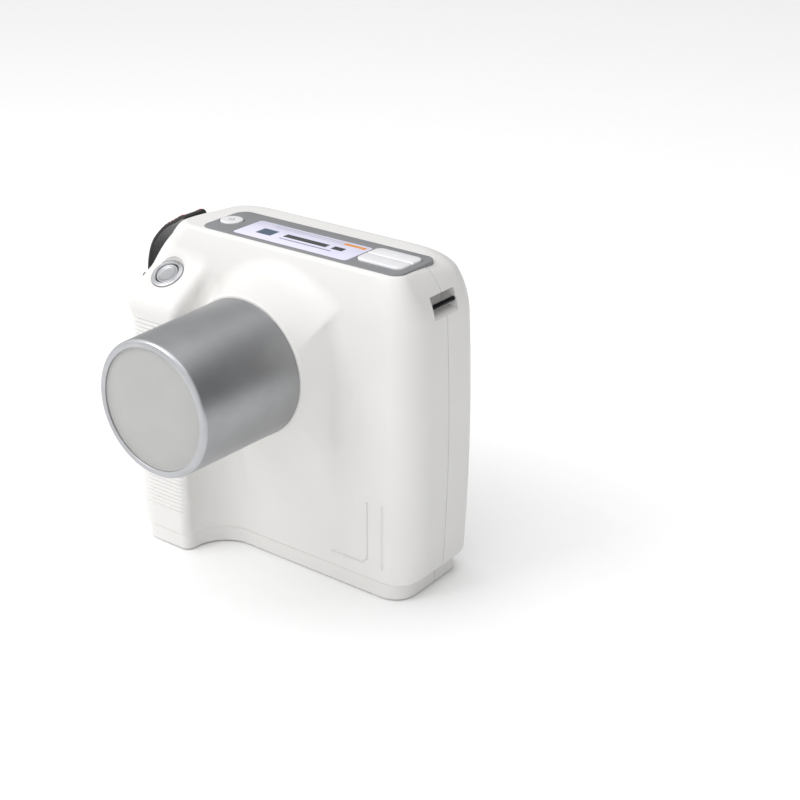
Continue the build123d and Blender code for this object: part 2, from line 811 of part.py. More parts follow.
def hv_multiplier():
    """Potted voltage multiplier."""
    x0 = battery_half_x() + 6
    box = block(x0, x0 + 24, tank_y0 + 3, tank_y0 + 33, battery_low_z + 8, battery_low_z + 58)
    return fillet(box.edges().filter_by(Axis.Z), 3.0)


# ---------------------------------------------------------------- battery and electronics
def battery_half_x():
    """Half length of the battery case."""
    return cell_l / 2 + battery_wall + 1.0


def battery_box(margin):
    """Block of the battery's outer shape, moved in by margin."""
    half = battery_half_x() - margin
    y0 = tank_y0 + 0.5
    y1 = y0 + 2 * cell_d + 2 * battery_wall + 0.6
    z1 = battery_low_z + cell_rows * cell_d + 2 * battery_wall + 0.8
    return block(-half, half, y0 + margin, y1 - margin, battery_low_z + margin, z1 - margin)


def battery_case():
    """Plastic case round the cells."""
    shell = fillet(battery_box(0).edges().filter_by(Axis.X), 4.0)
    return shell - battery_box(battery_wall)


def battery_cells():
    """Six cells lying along X."""
    y0 = tank_y0 + 0.5 + battery_wall + 0.3 + cell_d / 2
    z0 = battery_low_z + battery_wall + 0.3 + cell_d / 2
    solids = []
    for row in range(cell_rows):
        for column in range(2):
            y = y0 + column * cell_d
            z = z0 + row * (cell_d + 0.1)
            solids.append(rod_x(y, z, -cell_l / 2, cell_l / 2, cell_d / 2 - 0.05))
    return Compound(children=solids)


def main_board():
    """Control board on posts of the rear shell."""
    x = board_x / 2
    board = block(-x, x, board_y, board_y + board_t, board_low_z, board_low_z + board_z)
    for px, pz in board_posts_places():
        board -= rod_y(px, pz, board_y - 1, board_y + board_t + 1, screw_r + press_gap)
    return board


def board_chips():
    """Packages on the rear side of the main board."""
    solids = []
    y0 = board_y + board_t
    for x, z, w, h, t in chip_sizes:
        low = board_low_z + z - h / 2
        solids.append(block(x - w / 2, x + w / 2, y0, y0 + t, low, low + h))
    return Compound(children=solids)


def board_screws():
    """Screws of the main board."""
    solids = []
    for x, z in board_posts_places():
        shank = rod_y(x, z, board_y, board_y + board_t + 5, screw_r)
        solids.append(shank + rod_y(x, z, board_y - screw_head_t, board_y, screw_head_r))
    return Compound(children=solids)


def display_window():
    """Clear window set flush in the rear wall."""
    window = display_opening(0, back_y - display_t, back_y)
    return fillet(window.edges().filter_by(Axis.Y), 2.0)


def display_module():
    """Display behind the window, held against the rear wall."""
    y1 = back_y - wall - 0.1
    half = display_x / 2 + display_frame
    z = display_z / 2 + display_frame
    return block(-half, half, y1 - 3.2, y1, display_centre_z - z, display_centre_z + z)


def charge_socket():
    """Charging socket in the left side of the rear shell."""
    y = back_y - socket_setback
    x0 = -(half_x - side_belly - 1.0)
    body = rod_x(y, socket_centre_z, x0, x0 + 12, socket_r)
    body += block(x0 + 6, x0 + 16, y - 5, y + 5, socket_centre_z - 5, socket_centre_z + 5)
    body -= rod_x(y, socket_centre_z, x0 - 1, x0 + 10, 2.75)
    return body + rod_x(y, socket_centre_z, x0 + 1.5, x0 + 10.5, 0.9)


def buzzer():
    """Round buzzer on the grip's inner wall."""
    return rod_y(trigger_centre_x, 60.0, grip_y + wall, grip_y + wall + 5, 7.0)


def case_screws():
    """Six screws that join the shells."""
    solids = []
    head_y = back_y - wall - 2.0
    for x, z in case_screw_places():
        shank = rod_y(x, z, parting_y - 11, head_y, screw_r)
        solids.append(shank + rod_y(x, z, head_y, head_y + screw_head_t, screw_head_r))
    return Compound(children=solids)


def foot_pads():
    """Four rubber pads under the foot."""
    return Compound(children=[rod_z(x, y, 0, pad_t, pad_d / 2) for x, y in pad_places()])


def strap_pin(side):
    """Steel pin across a strap recess."""
    x, z = pin_place(side)
    reach = lug_y / 2 + pin_hold
    return rod_y(x, z, parting_y - reach, parting_y + reach, pin_r)


# ---------------------------------------------------------------- strap
def sleeve(x, z, bore):
    """Tube along Y that the leather forms round a bar."""
    y0 = parting_y - strap_w / 2
    y1 = parting_y + strap_w / 2
    return rod_y(x, z, y0, y1, bore + strap_t), rod_y(x, z, y0 - 1, y1 + 1, bore)


def tab_route():
    """X, Z of the leather tab's middle line, from the pin up over a fold and down."""
    x, z = pin_place(-1)
    side = x - pin_r - seat_gap - strap_t / 2
    return [(side, z), (x + 0.6, z + 15.0), (x - 18.0, z + 4.5), (x - 28.5, z - 5.5), (x - 33.0, z - 16.5),
            (x - 34.0, z - 26.5)]


def ring_bar():
    """X, Z of the D-ring's straight bar, inside the tab's end."""
    x, z = tab_route()[-1]
    return x, z - ring_wire_r - seat_gap


def strap_tab():
    """Leather tab folded round the left pin, arched out and down to the D-ring."""
    route = [(x, parting_y, z) for x, z in tab_route()]
    path = FilletPolyline(*route, radius=[strap_fold_r, 13.0, 13.0, 15.0])
    start = Plane(origin=path @ 0, x_dir=(0, 1, 0), z_dir=path % 0)
    tab = sweep(start * Rectangle(strap_w, strap_t), path=path)
    for (x, z), bore in ((pin_place(-1), pin_r + seat_gap), (ring_bar(), ring_wire_r + seat_gap)):
        outer, inner = sleeve(x, z, bore)
        tab = tab + outer - inner
    return tab


def strap_ring():
    """Steel ring through the tab's end, its bar along Y."""
    x, z = ring_bar()
    centre = Plane(origin=(x, parting_y, z - ring_z / 2), x_dir=(0, 1, 0), z_dir=(1, 0, 0))
    path = (centre * RectangleRounded(ring_x, ring_z, 3.0)).wire()
    start = Plane(origin=path @ 0, z_dir=path % 0)
    return sweep(start * Circle(ring_wire_r), path=path)


def clamp_mouth():
    """Point between the cord's two ends, on the clamp's lower face."""
    x, z = ring_bar()
    return x, parting_y, z - ring_z - ring_wire_r - strap_t - clamp_z + clamp_overlap


def cord_clamp():
    """Plastic clamp that holds both cord ends and hangs on the ring."""
    x, z = ring_bar()
    _, _, low = clamp_mouth()
    body = rounded_block(x, parting_y, clamp_x, clamp_y, low, low + clamp_z, 2.5)
    eye = rod_y(x, z - ring_z, parting_y - 10, parting_y + 10, ring_wire_r + seat_gap)
    return body - eye


def wrist_cord():
    """Round cord that hangs from the clamp in one loop."""
    x, y, z = clamp_mouth()
    points = [Vector(x + dx, y + dy, z + dz) for dx, dy, dz in wrist_cord_route]
    radii = []
    for before, at, after in zip(points, points[1:], points[2:]):
        run_in = at - before
        run_out = after - at
        half_turn = radians(run_in.get_angle(run_out)) / 2
        radii.append(0.45 * min(run_in.length, run_out.length) / tan(half_turn))
    print("wrist cord radii", [round(r, 1) for r in radii])
    path = FilletPolyline(*points, radius=radii)
    cord = sweep(Plane(origin=path @ 0, z_dir=path % 0) * Circle(wrist_cord_d / 2), path=path)
    tube_volume = pi * wrist_cord_d ** 2 / 4 * path.length
    print("wrist cord length", round(path.length, 1), "volume ratio", round(cord.volume / tube_volume, 4))
    return cord


parts = {}


def add(name, shape):
    """Keep a piece under the name of its file."""
    parts[name] = shape


front_shell, rear_shell = shells()
add("front_shell", front_shell)
add("rear_shell", rear_shell)
add("cone_barrel", cone_barrel())
add("cone_window", cone_window())
add("cone_liner", cone_liner())
add("cone_retainer", cone_retainer())
add("top_panel", top_panel())
add("top_label", top_label())
add("power_button", power_button())
add("up_key", rocker_key(1))
add("down_key", rocker_key(-1))
add("top_board", top_board())
add("top_switches", top_switches())
add("trigger_ring", trigger_ring())
add("trigger_button", trigger_button())
add("trigger_spring", trigger_spring())
add("trigger_bracket", trigger_bracket())
add("trigger_switch", trigger_switch())
add("chassis_plate", chassis_plate())
add("tube_tank", tube_tank())
add("tank_cover", tank_cover())
add("tank_screws", tank_screws())
add("tube_glass", tube_glass())
add("anode", anode())
add("cathode_cup", cathode_cup())
add("beam_filter", beam_filter())
add("collimator", collimator())
add("hv_transformer", hv_transformer())
add("transformer_coil", transformer_coil())
add("hv_multiplier", hv_multiplier())
add("battery_case", battery_case())
add("battery_cells", battery_cells())
add("main_board", main_board())
add("board_chips", board_chips())
add("board_screws", board_screws())
add("display_window", display_window())
add("display_module", display_module())
add("charge_socket", charge_socket())
add("buzzer", buzzer())
add("case_screws", case_screws())
add("foot_pads", foot_pads())
add("left_strap_pin", strap_pin(-1))
add("right_strap_pin", strap_pin(1))
add("strap_tab", strap_tab())
add("strap_ring", strap_ring())
add("cord_clamp", cord_clamp())
add("wrist_cord", wrist_cord())

os.makedirs("parts", exist_ok=True)
for name, shape in parts.items():
    export_step(shape, "parts/" + name + ".step")
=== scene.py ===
"""Looks for a handheld intraoral x-ray unit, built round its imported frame.

Sizes in the classes are millimetres in the frame's axes: +Z is up and the beam leaves along -Y.
Meshes are made in metres.
"""
from __future__ import annotations

import json
import logging
import math
from dataclasses import dataclass
from enum import Enum
from typing import Callable, Iterable, Sequence

import bmesh
import bpy
import numpy as np
from mathutils import Matrix, Vector

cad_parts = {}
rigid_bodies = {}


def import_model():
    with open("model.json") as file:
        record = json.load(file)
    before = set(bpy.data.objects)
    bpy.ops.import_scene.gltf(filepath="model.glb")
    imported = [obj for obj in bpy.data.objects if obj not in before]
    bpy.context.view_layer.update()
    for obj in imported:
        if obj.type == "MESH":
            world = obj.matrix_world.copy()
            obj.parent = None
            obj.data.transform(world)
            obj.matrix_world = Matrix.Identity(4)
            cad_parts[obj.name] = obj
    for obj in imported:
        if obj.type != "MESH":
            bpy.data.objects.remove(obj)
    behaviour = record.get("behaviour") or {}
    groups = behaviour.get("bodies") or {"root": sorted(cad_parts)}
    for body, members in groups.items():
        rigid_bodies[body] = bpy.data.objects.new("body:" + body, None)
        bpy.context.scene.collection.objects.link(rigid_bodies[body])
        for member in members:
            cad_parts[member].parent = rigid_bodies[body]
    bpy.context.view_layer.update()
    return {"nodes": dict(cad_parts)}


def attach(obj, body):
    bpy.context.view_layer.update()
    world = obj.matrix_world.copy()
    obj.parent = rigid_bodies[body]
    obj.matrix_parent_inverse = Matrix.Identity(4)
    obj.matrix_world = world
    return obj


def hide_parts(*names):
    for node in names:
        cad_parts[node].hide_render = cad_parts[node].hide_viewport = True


MM = 0.001
FINE_ROUND = 96
Array = np.ndarray
Field = Callable[[Array, Array, Array], Array]
log = logging.getLogger("xray_unit")


# ---------------------------------------------------------------- colours and finishes
def linear(code: str) -> tuple[float, float, float, float]:
    """Turn an sRGB hex colour into linear values.

    Args:
        code: Six hex digits after a hash.

    Returns:
        Linear red, green and blue with full alpha.
    """
    channels = [int(code[i:i + 2], 16) / 255 for i in (1, 3, 5)]
    turned = [c / 12.92 if c <= 0.04045 else ((c + 0.055) / 1.055) ** 2.4 for c in channels]
    return (*turned, 1.0)


def per_mm(size: float) -> float:
    """Texture scale for a pattern whose repeat is size millimetres."""
    return 1000.0 / size


class Pattern(Enum):
    """How a surface's fine relief is laid out."""

    GRAIN = "grain"
    TURNED = "turned"
    PEBBLED = "pebbled"
    BRAIDED = "braided"
    DRAWN = "drawn"


def add_node(tree: bpy.types.NodeTree, kind: str, settings: dict | None = None,
             links: dict | None = None) -> bpy.types.Node:
    """Add one shader node.

    Args:
        tree: Node tree that gets the node.
        kind: Type name of the node.
        settings: Values by socket name or by attribute name.
        links: Output sockets by the name of the input that they feed.

    Returns:
        The new node.
    """
    node = tree.nodes.new(kind)
    for key, value in (settings or {}).items():
        if isinstance(key, int) or key in node.inputs:
            node.inputs[key].default_value = value
        else:
            setattr(node, key, value)
    for key, source in (links or {}).items():
        tree.links.new(source, node.inputs[key])
    return node


@dataclass(frozen=True)
class Finish:
    """A real material and how its surface was made."""

    name: str
    colour: str
    shade: str                     # the second colour, in soft patches
    roughness: float
    spread: float = 0.05           # how far the roughness wanders
    metallic: float = 0.0
    ior: float | None = None
    pattern: Pattern = Pattern.GRAIN
    pitch: float = 0.3             # repeat of the relief
    relief: float = 0.003          # height of the relief
    patch: float = 18.0            # size of the soft patches
    coat: float = 0.0
    transmission: float = 0.0

    def height(self, tree: bpy.types.NodeTree, place: bpy.types.NodeSocket) -> bpy.types.NodeSocket:
        """Lay out the relief.

        Args:
            tree: Node tree of the material.
            place: Socket with the position in metres.

        Returns:
            Socket with the height, from 0 to 1.
        """
        scale = per_mm(self.pitch)
        if self.pattern is Pattern.PEBBLED:
            cells = add_node(tree, "ShaderNodeTexVoronoi", {"Scale": scale, "feature": "SMOOTH_F1"},
                             {"Vector": place})
            return cells.outputs["Distance"]
        if self.pattern is Pattern.BRAIDED:
            waves = [
                add_node(tree, "ShaderNodeTexWave",
                         {"Scale": scale / 6, "bands_direction": way, "Distortion": 0.6, "Detail": 1.0},
                         {"Vector": place})
                for way in ("DIAGONAL", "Z")
            ]
            both = add_node(tree, "ShaderNodeMath", {"operation": "MAXIMUM"},
                            {0: waves[0].outputs["Fac"], 1: waves[1].outputs["Fac"]})
            return both.outputs[0]
        if self.pattern in (Pattern.TURNED, Pattern.DRAWN):
            stretch = (1.0, 14.0, 1.0) if self.pattern is Pattern.TURNED else (9.0, 1.0, 9.0)
            stretched = add_node(tree, "ShaderNodeVectorMath", {"operation": "MULTIPLY", 1: stretch},
                                 {0: place})
            place = stretched.outputs[0]
            scale = scale / 14.0 if self.pattern is Pattern.TURNED else scale / 9.0
        noise = add_node(tree, "ShaderNodeTexNoise", {"Scale": scale, "Detail": 2.0}, {"Vector": place})
        return noise.outputs["Fac"]

    def colouring(self, tree: bpy.types.NodeTree, place: bpy.types.NodeSocket) -> bpy.types.NodeSocket:
        """Mix the two colours in soft patches.

        Args:
            tree: Node tree of the material.
            place: Socket with the position in metres.

        Returns:
            Socket with the colour.
        """
        patches = add_node(tree, "ShaderNodeTexNoise", {"Scale": per_mm(self.patch), "Detail": 3.0},
                           {"Vector": place})
        ramp = add_node(tree, "ShaderNodeValToRGB", {}, {"Fac": patches.outputs["Fac"]})
        ramp.color_ramp.elements[0].position = 0.35
        ramp.color_ramp.elements[1].position = 0.65
        ramp.color_ramp.elements[0].color = linear(self.shade)
        ramp.color_ramp.elements[1].color = linear(self.colour)
        return ramp.outputs["Color"]

    def build(self) -> bpy.types.Material:
        """Make the material, or find it if it was made before.

        Returns:
            The material.
        """
        found = bpy.data.materials.get(self.name)
        if found:
            return found
        material = bpy.data.materials.new(self.name)
        material.use_nodes = True
        tree = material.node_tree
        tree.nodes.clear()
        place = add_node(tree, "ShaderNodeTexCoord").outputs["Object"]
        height = self.height(tree, place)
        rough = add_node(tree, "ShaderNodeMapRange",
                         {"To Min": self.roughness - self.spread, "To Max": self.roughness + self.spread},
                         {"Value": height})
        bump = add_node(tree, "ShaderNodeBump", {"Strength": 1.0, "Distance": self.relief * MM},
                        {"Height": height})
        settings = {"Metallic": self.metallic, "Coat Weight": self.coat,
                    "Transmission Weight": self.transmission}
        if self.ior is not None:
            settings["IOR"] = self.ior
        shader = add_node(tree, "ShaderNodeBsdfPrincipled", settings,
                          {"Base Color": self.colouring(tree, place), "Roughness": rough.outputs["Result"],
                           "Normal": bump.outputs["Normal"]})
        add_node(tree, "ShaderNodeOutputMaterial", {}, {"Surface": shader.outputs["BSDF"]})
        return material


@dataclass(frozen=True)
class PrintedFilm(Finish):
    """Polyester film printed from behind with plain bars and one tab."""

    bars: tuple = ()               # centre X, centre Y, half X, half Y, colour

    def colouring(self, tree: bpy.types.NodeTree, place: bpy.types.NodeSocket) -> bpy.types.NodeSocket:
        """Lay the printed bars over the film's own colour.

        Args:
            tree: Node tree of the material.
            place: Socket with the position in metres.

        Returns:
            Socket with the colour.
        """
        colour = super().colouring(tree, place)
        axes = add_node(tree, "ShaderNodeSeparateXYZ", {}, {"Vector": place})
        for cx, cy, half_x, half_y, code in self.bars:
            masks = []
            for axis, centre, half in (("X", cx, half_x), ("Y", cy, half_y)):
                mask = add_node(tree, "ShaderNodeMath", {"operation": "COMPARE", 1: centre * MM, 2: half * MM},
                                {0: axes.outputs[axis]})
                masks.append(mask.outputs[0])
            inside = add_node(tree, "ShaderNodeMath", {"operation": "MULTIPLY"}, {0: masks[0], 1: masks[1]})
            mixed = add_node(tree, "ShaderNodeMix", {"data_type": "RGBA", 7: linear(code)},
                             {0: inside.outputs[0], 6: colour})
            colour = mixed.outputs[2]
        return colour


# Moulded ABS with a light polish: a soft highlight along each edge, and a grain too fine to see as bumps.
WHITE_ABS = Finish("moulded_white_abs", "#DEDDDB", "#DBDAD8", 0.36, 0.03, ior=1.53, pitch=0.5, relief=0.002,
                   patch=60.0)
# Polished ABS: the keys are glossier than the housing.
KEY_ABS = Finish("polished_white_abs", "#DEDEE1", "#DBDBDE", 0.22, 0.03, ior=1.53, pitch=0.8, relief=0.001)
# Spark-textured ABS: an even, slightly sparkling grey.
GREY_ABS = Finish("textured_grey_abs", "#7E7F82", "#797A7D", 0.42, 0.06, ior=1.53, pitch=0.35, relief=0.012)
# Bead-blasted and clear anodised aluminium: blurred reflections and a sandy sparkle.
# The grain is drawn coarser than the real 0.1 mm, which would not show.
BLASTED_ALUMINIUM = Finish("blasted_aluminium", "#A6A7A9", "#A1A2A4", 0.40, 0.08, 1.0, pitch=0.55, relief=0.014)
# Turned aluminium: fine rings round the axis that draw a highlight out across them.
TURNED_ALUMINIUM = Finish("turned_aluminium", "#B9BABD", "#B0B1B4", 0.30, 0.06, 1.0, pattern=Pattern.TURNED,
                          pitch=0.5, relief=0.003)
# Milled aluminium plate: straight fine tool lines and a broad highlight.
MILLED_ALUMINIUM = Finish("milled_aluminium", "#C0C1C4", "#B4B5B8", 0.35, 0.08, 1.0, pattern=Pattern.DRAWN,
                          pitch=0.5, relief=0.004)
# Sand-cast aluminium: rough and dull.
CAST_ALUMINIUM = Finish("cast_aluminium", "#A3A4A6", "#97989A", 0.55, 0.1, 1.0, pitch=0.8, relief=0.03)
# Frosted polycarbonate: a flat grey with no clear reflection.
FROSTED_WINDOW = Finish("frosted_polycarbonate", "#ABABA9", "#A8A8A6", 0.50, 0.04, ior=1.58, pitch=0.4,
                        relief=0.006)
# Rolled lead sheet: dark and soft, with a dull oxide.
ROLLED_LEAD = Finish("rolled_lead", "#5B5D61", "#505257", 0.6, 0.1, 1.0, pitch=1.2, relief=0.01)
# Drawn and plated steel: bright along the bar.
DRAWN_STEEL = Finish("drawn_steel", "#8E8E90", "#7C7C7E", 0.24, 0.06, 1.0, pattern=Pattern.DRAWN, pitch=0.5,
                     relief=0.003)
# Black nickel on steel for the lug bars, which look black with a thin highlight.
BLACK_NICKEL = Finish("black_nickel_steel", "#242427", "#1C1C1F", 0.25, 0.05, 1.0, pattern=Pattern.DRAWN,
                      pitch=0.5, relief=0.002)
# Zinc-plated steel: greyer than bare steel, with a soft shine on the heads.
ZINC_STEEL = Finish("zinc_plated_steel", "#9A9A9C", "#8B8B8D", 0.33, 0.08, 1.0, pitch=0.5, relief=0.004)
# Machined copper: warm reflections, slightly browned by air.
COPPER = Finish("machined_copper", "#C88A62", "#B57850", 0.32, 0.08, 1.0, pitch=0.6, relief=0.004)
# Sintered ferrite: charcoal grey and matt.
FERRITE = Finish("sintered_ferrite", "#3A3A3D", "#333336", 0.7, 0.08, ior=2.3, pitch=0.5, relief=0.01)
# Cast epoxy: a black block with a smooth, slightly wavy top.
EPOXY = Finish("cast_epoxy", "#1D1D22", "#18181C", 0.3, 0.08, ior=1.55, pitch=2.0, relief=0.01)
# Solder mask over woven glass board: an even green with a wet look.
SOLDER_MASK = Finish("solder_mask_board", "#0E5A2C", "#0B4E26", 0.35, 0.06, ior=1.55, pitch=0.6, relief=0.006)
# Moulded dark nylon: near black and half matt.
DARK_NYLON = Finish("moulded_dark_nylon", "#202123", "#1B1C1E", 0.48, 0.06, ior=1.53, pitch=0.4, relief=0.005)
# Shrink-wrapped PVC: a tight, glossy skin round each cell.
CELL_WRAP = Finish("shrink_wrap_pvc", "#2A5F9E", "#255690", 0.3, 0.05, ior=1.54, pitch=3.0, relief=0.01)
# Blown borosilicate glass: clear, with a slight unevenness.
TUBE_GLASS = Finish("borosilicate_glass", "#E6F0F0", "#DDEBEB", 0.06, 0.02, ior=1.47, pitch=6.0, relief=0.002,
                    transmission=0.9)
# Hard-coated acrylic over the display: black and mirror-like.
DISPLAY_ACRYLIC = Finish("coated_acrylic", "#0B0C0F", "#090A0D", 0.08, 0.02, ior=1.49, pitch=4.0, relief=0.001,
                         coat=0.4)
# Moulded nitrile rubber: black with almost no reflection.
NITRILE = Finish("moulded_nitrile", "#202020", "#1A1A1A", 0.7, 0.06, ior=1.52, pitch=0.6, relief=0.02)
# Grained cow leather with a finish coat: pebbles about a millimetre across.
GRAINED_LEATHER = Finish("grained_leather", "#1B1919", "#131212", 0.42, 0.1, ior=1.5, pattern=Pattern.PEBBLED,
                         pitch=1.1, relief=0.09)
# Bonded red polyester thread: fine red dashes along both edges of the strap.
RED_THREAD = Finish("red_polyester_thread", "#8E1B1E", "#74151A", 0.6, 0.08, ior=1.53, pattern=Pattern.DRAWN,
                    pitch=0.4, relief=0.02)
# Braided polyester cord: strands about a millimetre wide.
BRAIDED_CORD = Finish("braided_polyester", "#1A1A1C", "#101012", 0.62, 0.1, ior=1.53, pattern=Pattern.BRAIDED,
                      pitch=1.2, relief=0.18)
# Printed grey ink on the keys: flat and slightly duller than the plastic.
KEY_PRINT = Finish("printed_grey_ink", "#A9AAAF", "#A2A3A8", 0.45, 0.04, ior=1.5, pitch=0.4, relief=0.001)
# Printed polyester film: a smooth pale violet sheet; it carries plain bars where a maker would print its name.
LABEL_FILM = PrintedFilm(
    "printed_polyester_film", "#DEDCF0", "#D9D7EC", 0.30, 0.03, ior=1.6, pitch=0.8, relief=0.001,
    bars=((3.0, 46.6, 28.0, 0.35, "#B9B8C8"), (-1.0, 44.6, 24.0, 0.35, "#B9B8C8"),
          (28.5, 45.4, 7.0, 1.3, "#E8952A"), (-22.0, 36.0, 5.0, 4.0, "#2C4A63"),
          (3.0, 37.4, 14.0, 2.2, "#26272B"), (24.0, 37.4, 3.6, 2.2, "#26272B"),
          (6.0, 32.4, 17.0, 0.5, "#6D6D7A")))
# Matt paper: no reflection, so that the floor runs into the background.
FLOOR_PAPER = Finish("matt_paper", "#FBFBFB", "#FAFAFA", 0.9, 0.02, ior=1.45, pitch=2.0, relief=0.002)


# ---------------------------------------------------------------- mesh tools
def make_mesh(name: str, points: Array, faces: Sequence[Sequence[int]]) -> bpy.types.Object:
    """Make an object from points in millimetres and faces.

    Args:
        name: Name of the object.
        points: N by 3 array.
        faces: Indices of each face's corners.

    Returns:
        The object, linked to the scene.
    """
    mesh = bpy.data.meshes.new(name)
    mesh.vertices.add(len(points))
    mesh.vertices.foreach_set("co", (np.asarray(points, float) * MM).astype(np.float32).ravel())
    sizes = np.array([len(face) for face in faces])
    mesh.loops.add(int(sizes.sum()))
    mesh.loops.foreach_set("vertex_index", np.concatenate([np.asarray(face, np.int32) for face in faces]))
    mesh.polygons.add(len(faces))
    mesh.polygons.foreach_set("loop_start", np.concatenate([[0], np.cumsum(sizes)[:-1]]).astype(np.int32))
    mesh.update(calc_edges=True)
    made = bpy.data.objects.new(name, mesh)
    bpy.context.scene.collection.objects.link(made)
    return made


def tidy_normals(piece: bpy.types.Object) -> bpy.types.Object:
    """Turn every face of a closed mesh outwards.

    Args:
        piece: The object.

    Returns:
        The same object.
    """
    shape = bmesh.new()
    shape.from_mesh(piece.data)
    bmesh.ops.recalc_face_normals(shape, faces=shape.faces)
    shape.to_mesh(piece.data)
    shape.free()
    return piece


def loft(name: str, rings: Sequence[Array], closed: bool = False) -> bpy.types.Object:
    """Join rings of equal count into a closed skin.

    Args:
        name: Name of the object.
        rings: Rings of points in millimetres, in order.
        closed: True if the last ring joins the first; otherwise both ends are capped.

    Returns:
        The object.
    """
    count = len(rings[0])
    points = np.concatenate(rings)
    around = np.arange(count)
    following = (around + 1) % count
    faces: list = []
    for i in range(len(rings) if closed else len(rings) - 1):
        low = i * count
        high = ((i + 1) % len(rings)) * count
        faces.extend(np.stack([low + around, low + following, high + following, high + around], 1))
    if not closed:
        faces.append(around[::-1])
        faces.append((len(rings) - 1) * count + around)
    return tidy_normals(make_mesh(name, points, faces))


def arc(cx: float, cy: float, r: float, start: float, end: float, steps: int = 6) -> list[tuple[float, float]]:
    """Points of an arc.

    Args:
        cx: Centre, first coordinate.
        cy: Centre, second coordinate.
        r: Radius.
        start: First angle in degrees.
        end: Last angle in degrees.
        steps: Number of spans.

    Returns:
        Points from the first angle to the last.
    """
    angles = np.radians(np.linspace(start, end, steps + 1))
    return [(cx + r * math.cos(a), cy + r * math.sin(a)) for a in angles]


@dataclass(frozen=True)
class Placing:
    """Where a piece's own axes lie in the frame."""

    origin: tuple[float, float, float] = (0.0, 0.0, 0.0)
    x_way: tuple[float, float, float] = (1.0, 0.0, 0.0)
    z_way: tuple[float, float, float] = (0.0, 0.0, 1.0)

    def put(self, points: Array) -> Array:
        """Move points from the piece's axes into the frame's.

        Args:
            points: N by 3 array in the piece's axes.

        Returns:
            N by 3 array in the frame's axes.
        """
        x_way = np.array(self.x_way)
        z_way = np.array(self.z_way)
        y_way = np.cross(z_way, x_way)
        return np.asarray(points) @ np.stack([x_way, y_way, z_way]) + np.array(self.origin)


UPRIGHT = Placing()


def facing_back(y: float, x: float = 0.0, z: float = 0.0) -> Placing:
    """Axes at a point, with their Z running towards the rear."""
    return Placing((x, y, z), (1.0, 0.0, 0.0), (0.0, 1.0, 0.0))


def lathe(name: str, profile: Sequence[tuple[float, float]], placing: Placing = UPRIGHT, hollow: bool = False,
          around: int = FINE_ROUND) -> bpy.types.Object:
    """Turn a profile about a piece's own Z axis.

    Args:
        name: Name of the object.
        profile: Radius and height of each point.
        placing: Where the axis lies.
        hollow: True if the profile closes on itself without reaching the axis.
        around: Number of steps round the axis.

    Returns:
        The object.
    """
    angles = np.linspace(0, 2 * math.pi, around, endpoint=False)
    rings = [placing.put(np.stack([r * np.cos(angles), r * np.sin(angles), np.full(around, h)], 1))
             for r, h in profile]
    return loft(name, rings, hollow)


def rounded_outline(x0: float, x1: float, y0: float, y1: float, radii: Sequence[float], inset: float = 0.0,
                    steps: int = 8) -> Array:
    """Outline of a rectangle with its own radius at each corner.

    Args:
        x0: Low X.
        x1: High X.
        y0: Low Y.
        y1: High Y.
        radii: Radii at low-low, high-low, high-high and low-high.
        inset: How far the whole outline is moved in.
        steps: Spans in each corner.

    Returns:
        N by 2 array, anticlockwise.
    """
    x0, x1, y0, y1 = x0 + inset, x1 - inset, y0 + inset, y1 - inset
    corners = [(x0, y0, 1, 1, 180), (x1, y0, -1, 1, 270), (x1, y1, -1, -1, 0), (x0, y1, 1, -1, 90)]
    points: list = []
    for (x, y, way_x, way_y, start), radius in zip(corners, radii):
        r = max(radius - inset, 0.08)
        points.extend(arc(x + way_x * r, y + way_y * r, r, start, start + 90, steps))
    return np.array(points)


def outlined(x0: float, x1: float, y0: float, y1: float, radii: Sequence[float] | float,
             grow: float = 0.0) -> Callable[[float], Array]:
    """Rounded rectangle as a function of its inset.

    Args:
        x0: Low X.
        x1: High X.
        y0: Low Y.
        y1: High Y.
        radii: One radius, or the four that rounded_outline takes.
        grow: How far the whole outline is moved out.

    Returns:
        Function from an inset to an N by 2 array.
    """
    corners = [radii] * 4 if isinstance(radii, float) else radii
    return lambda inset: rounded_outline(x0, x1, y0, y1, corners, inset - grow)


def slab(name: str, outline: Callable[[float], Array], levels: Sequence[tuple[float, float]],
         placing: Placing = UPRIGHT) -> bpy.types.Object:
    """Stack an outline at several heights.

    Args:
        name: Name of the object.
        outline: Gives the outline for an inset.
        levels: Height and inset of each level.
        placing: Where the slab's own axes lie.

    Returns:
        The object.
    """
    rings = []
    for height, inset in levels:
        flat = outline(inset)
        rings.append(placing.put(np.column_stack([flat, np.full(len(flat), height)])))
    return loft(name, rings)


def soft_levels(low: float, high: float, low_edge: float, high_edge: float, steps: int = 4) -> list:
    """Heights and insets of a slab whose edges are rounded.

    Args:
        low: Bottom of the slab.
        high: Top of the slab.
        low_edge: Radius of the lower edge.
        high_edge: Radius of the upper edge.
        steps: Spans in each edge.

    Returns:
        Height and inset of each level, upwards.
    """
    turns = np.radians(np.linspace(0, 90, steps + 1))
    below = [(low + low_edge * (1 - math.sin(t)), low_edge * (1 - math.cos(t))) for t in turns[::-1]]
    above = [(high - high_edge * (1 - math.sin(t)), high_edge * (1 - math.cos(t))) for t in turns]
    return below + above


def brick(name: str, low: Sequence[float], high: Sequence[float]) -> bpy.types.Object:
    """Cutting block between two corners."""
    outline = np.array([(low[0], low[1]), (high[0], low[1]), (high[0], high[1]), (low[0], high[1])])
    return slab(name, lambda _inset: outline, [(low[2], 0.0), (high[2], 0.0)])


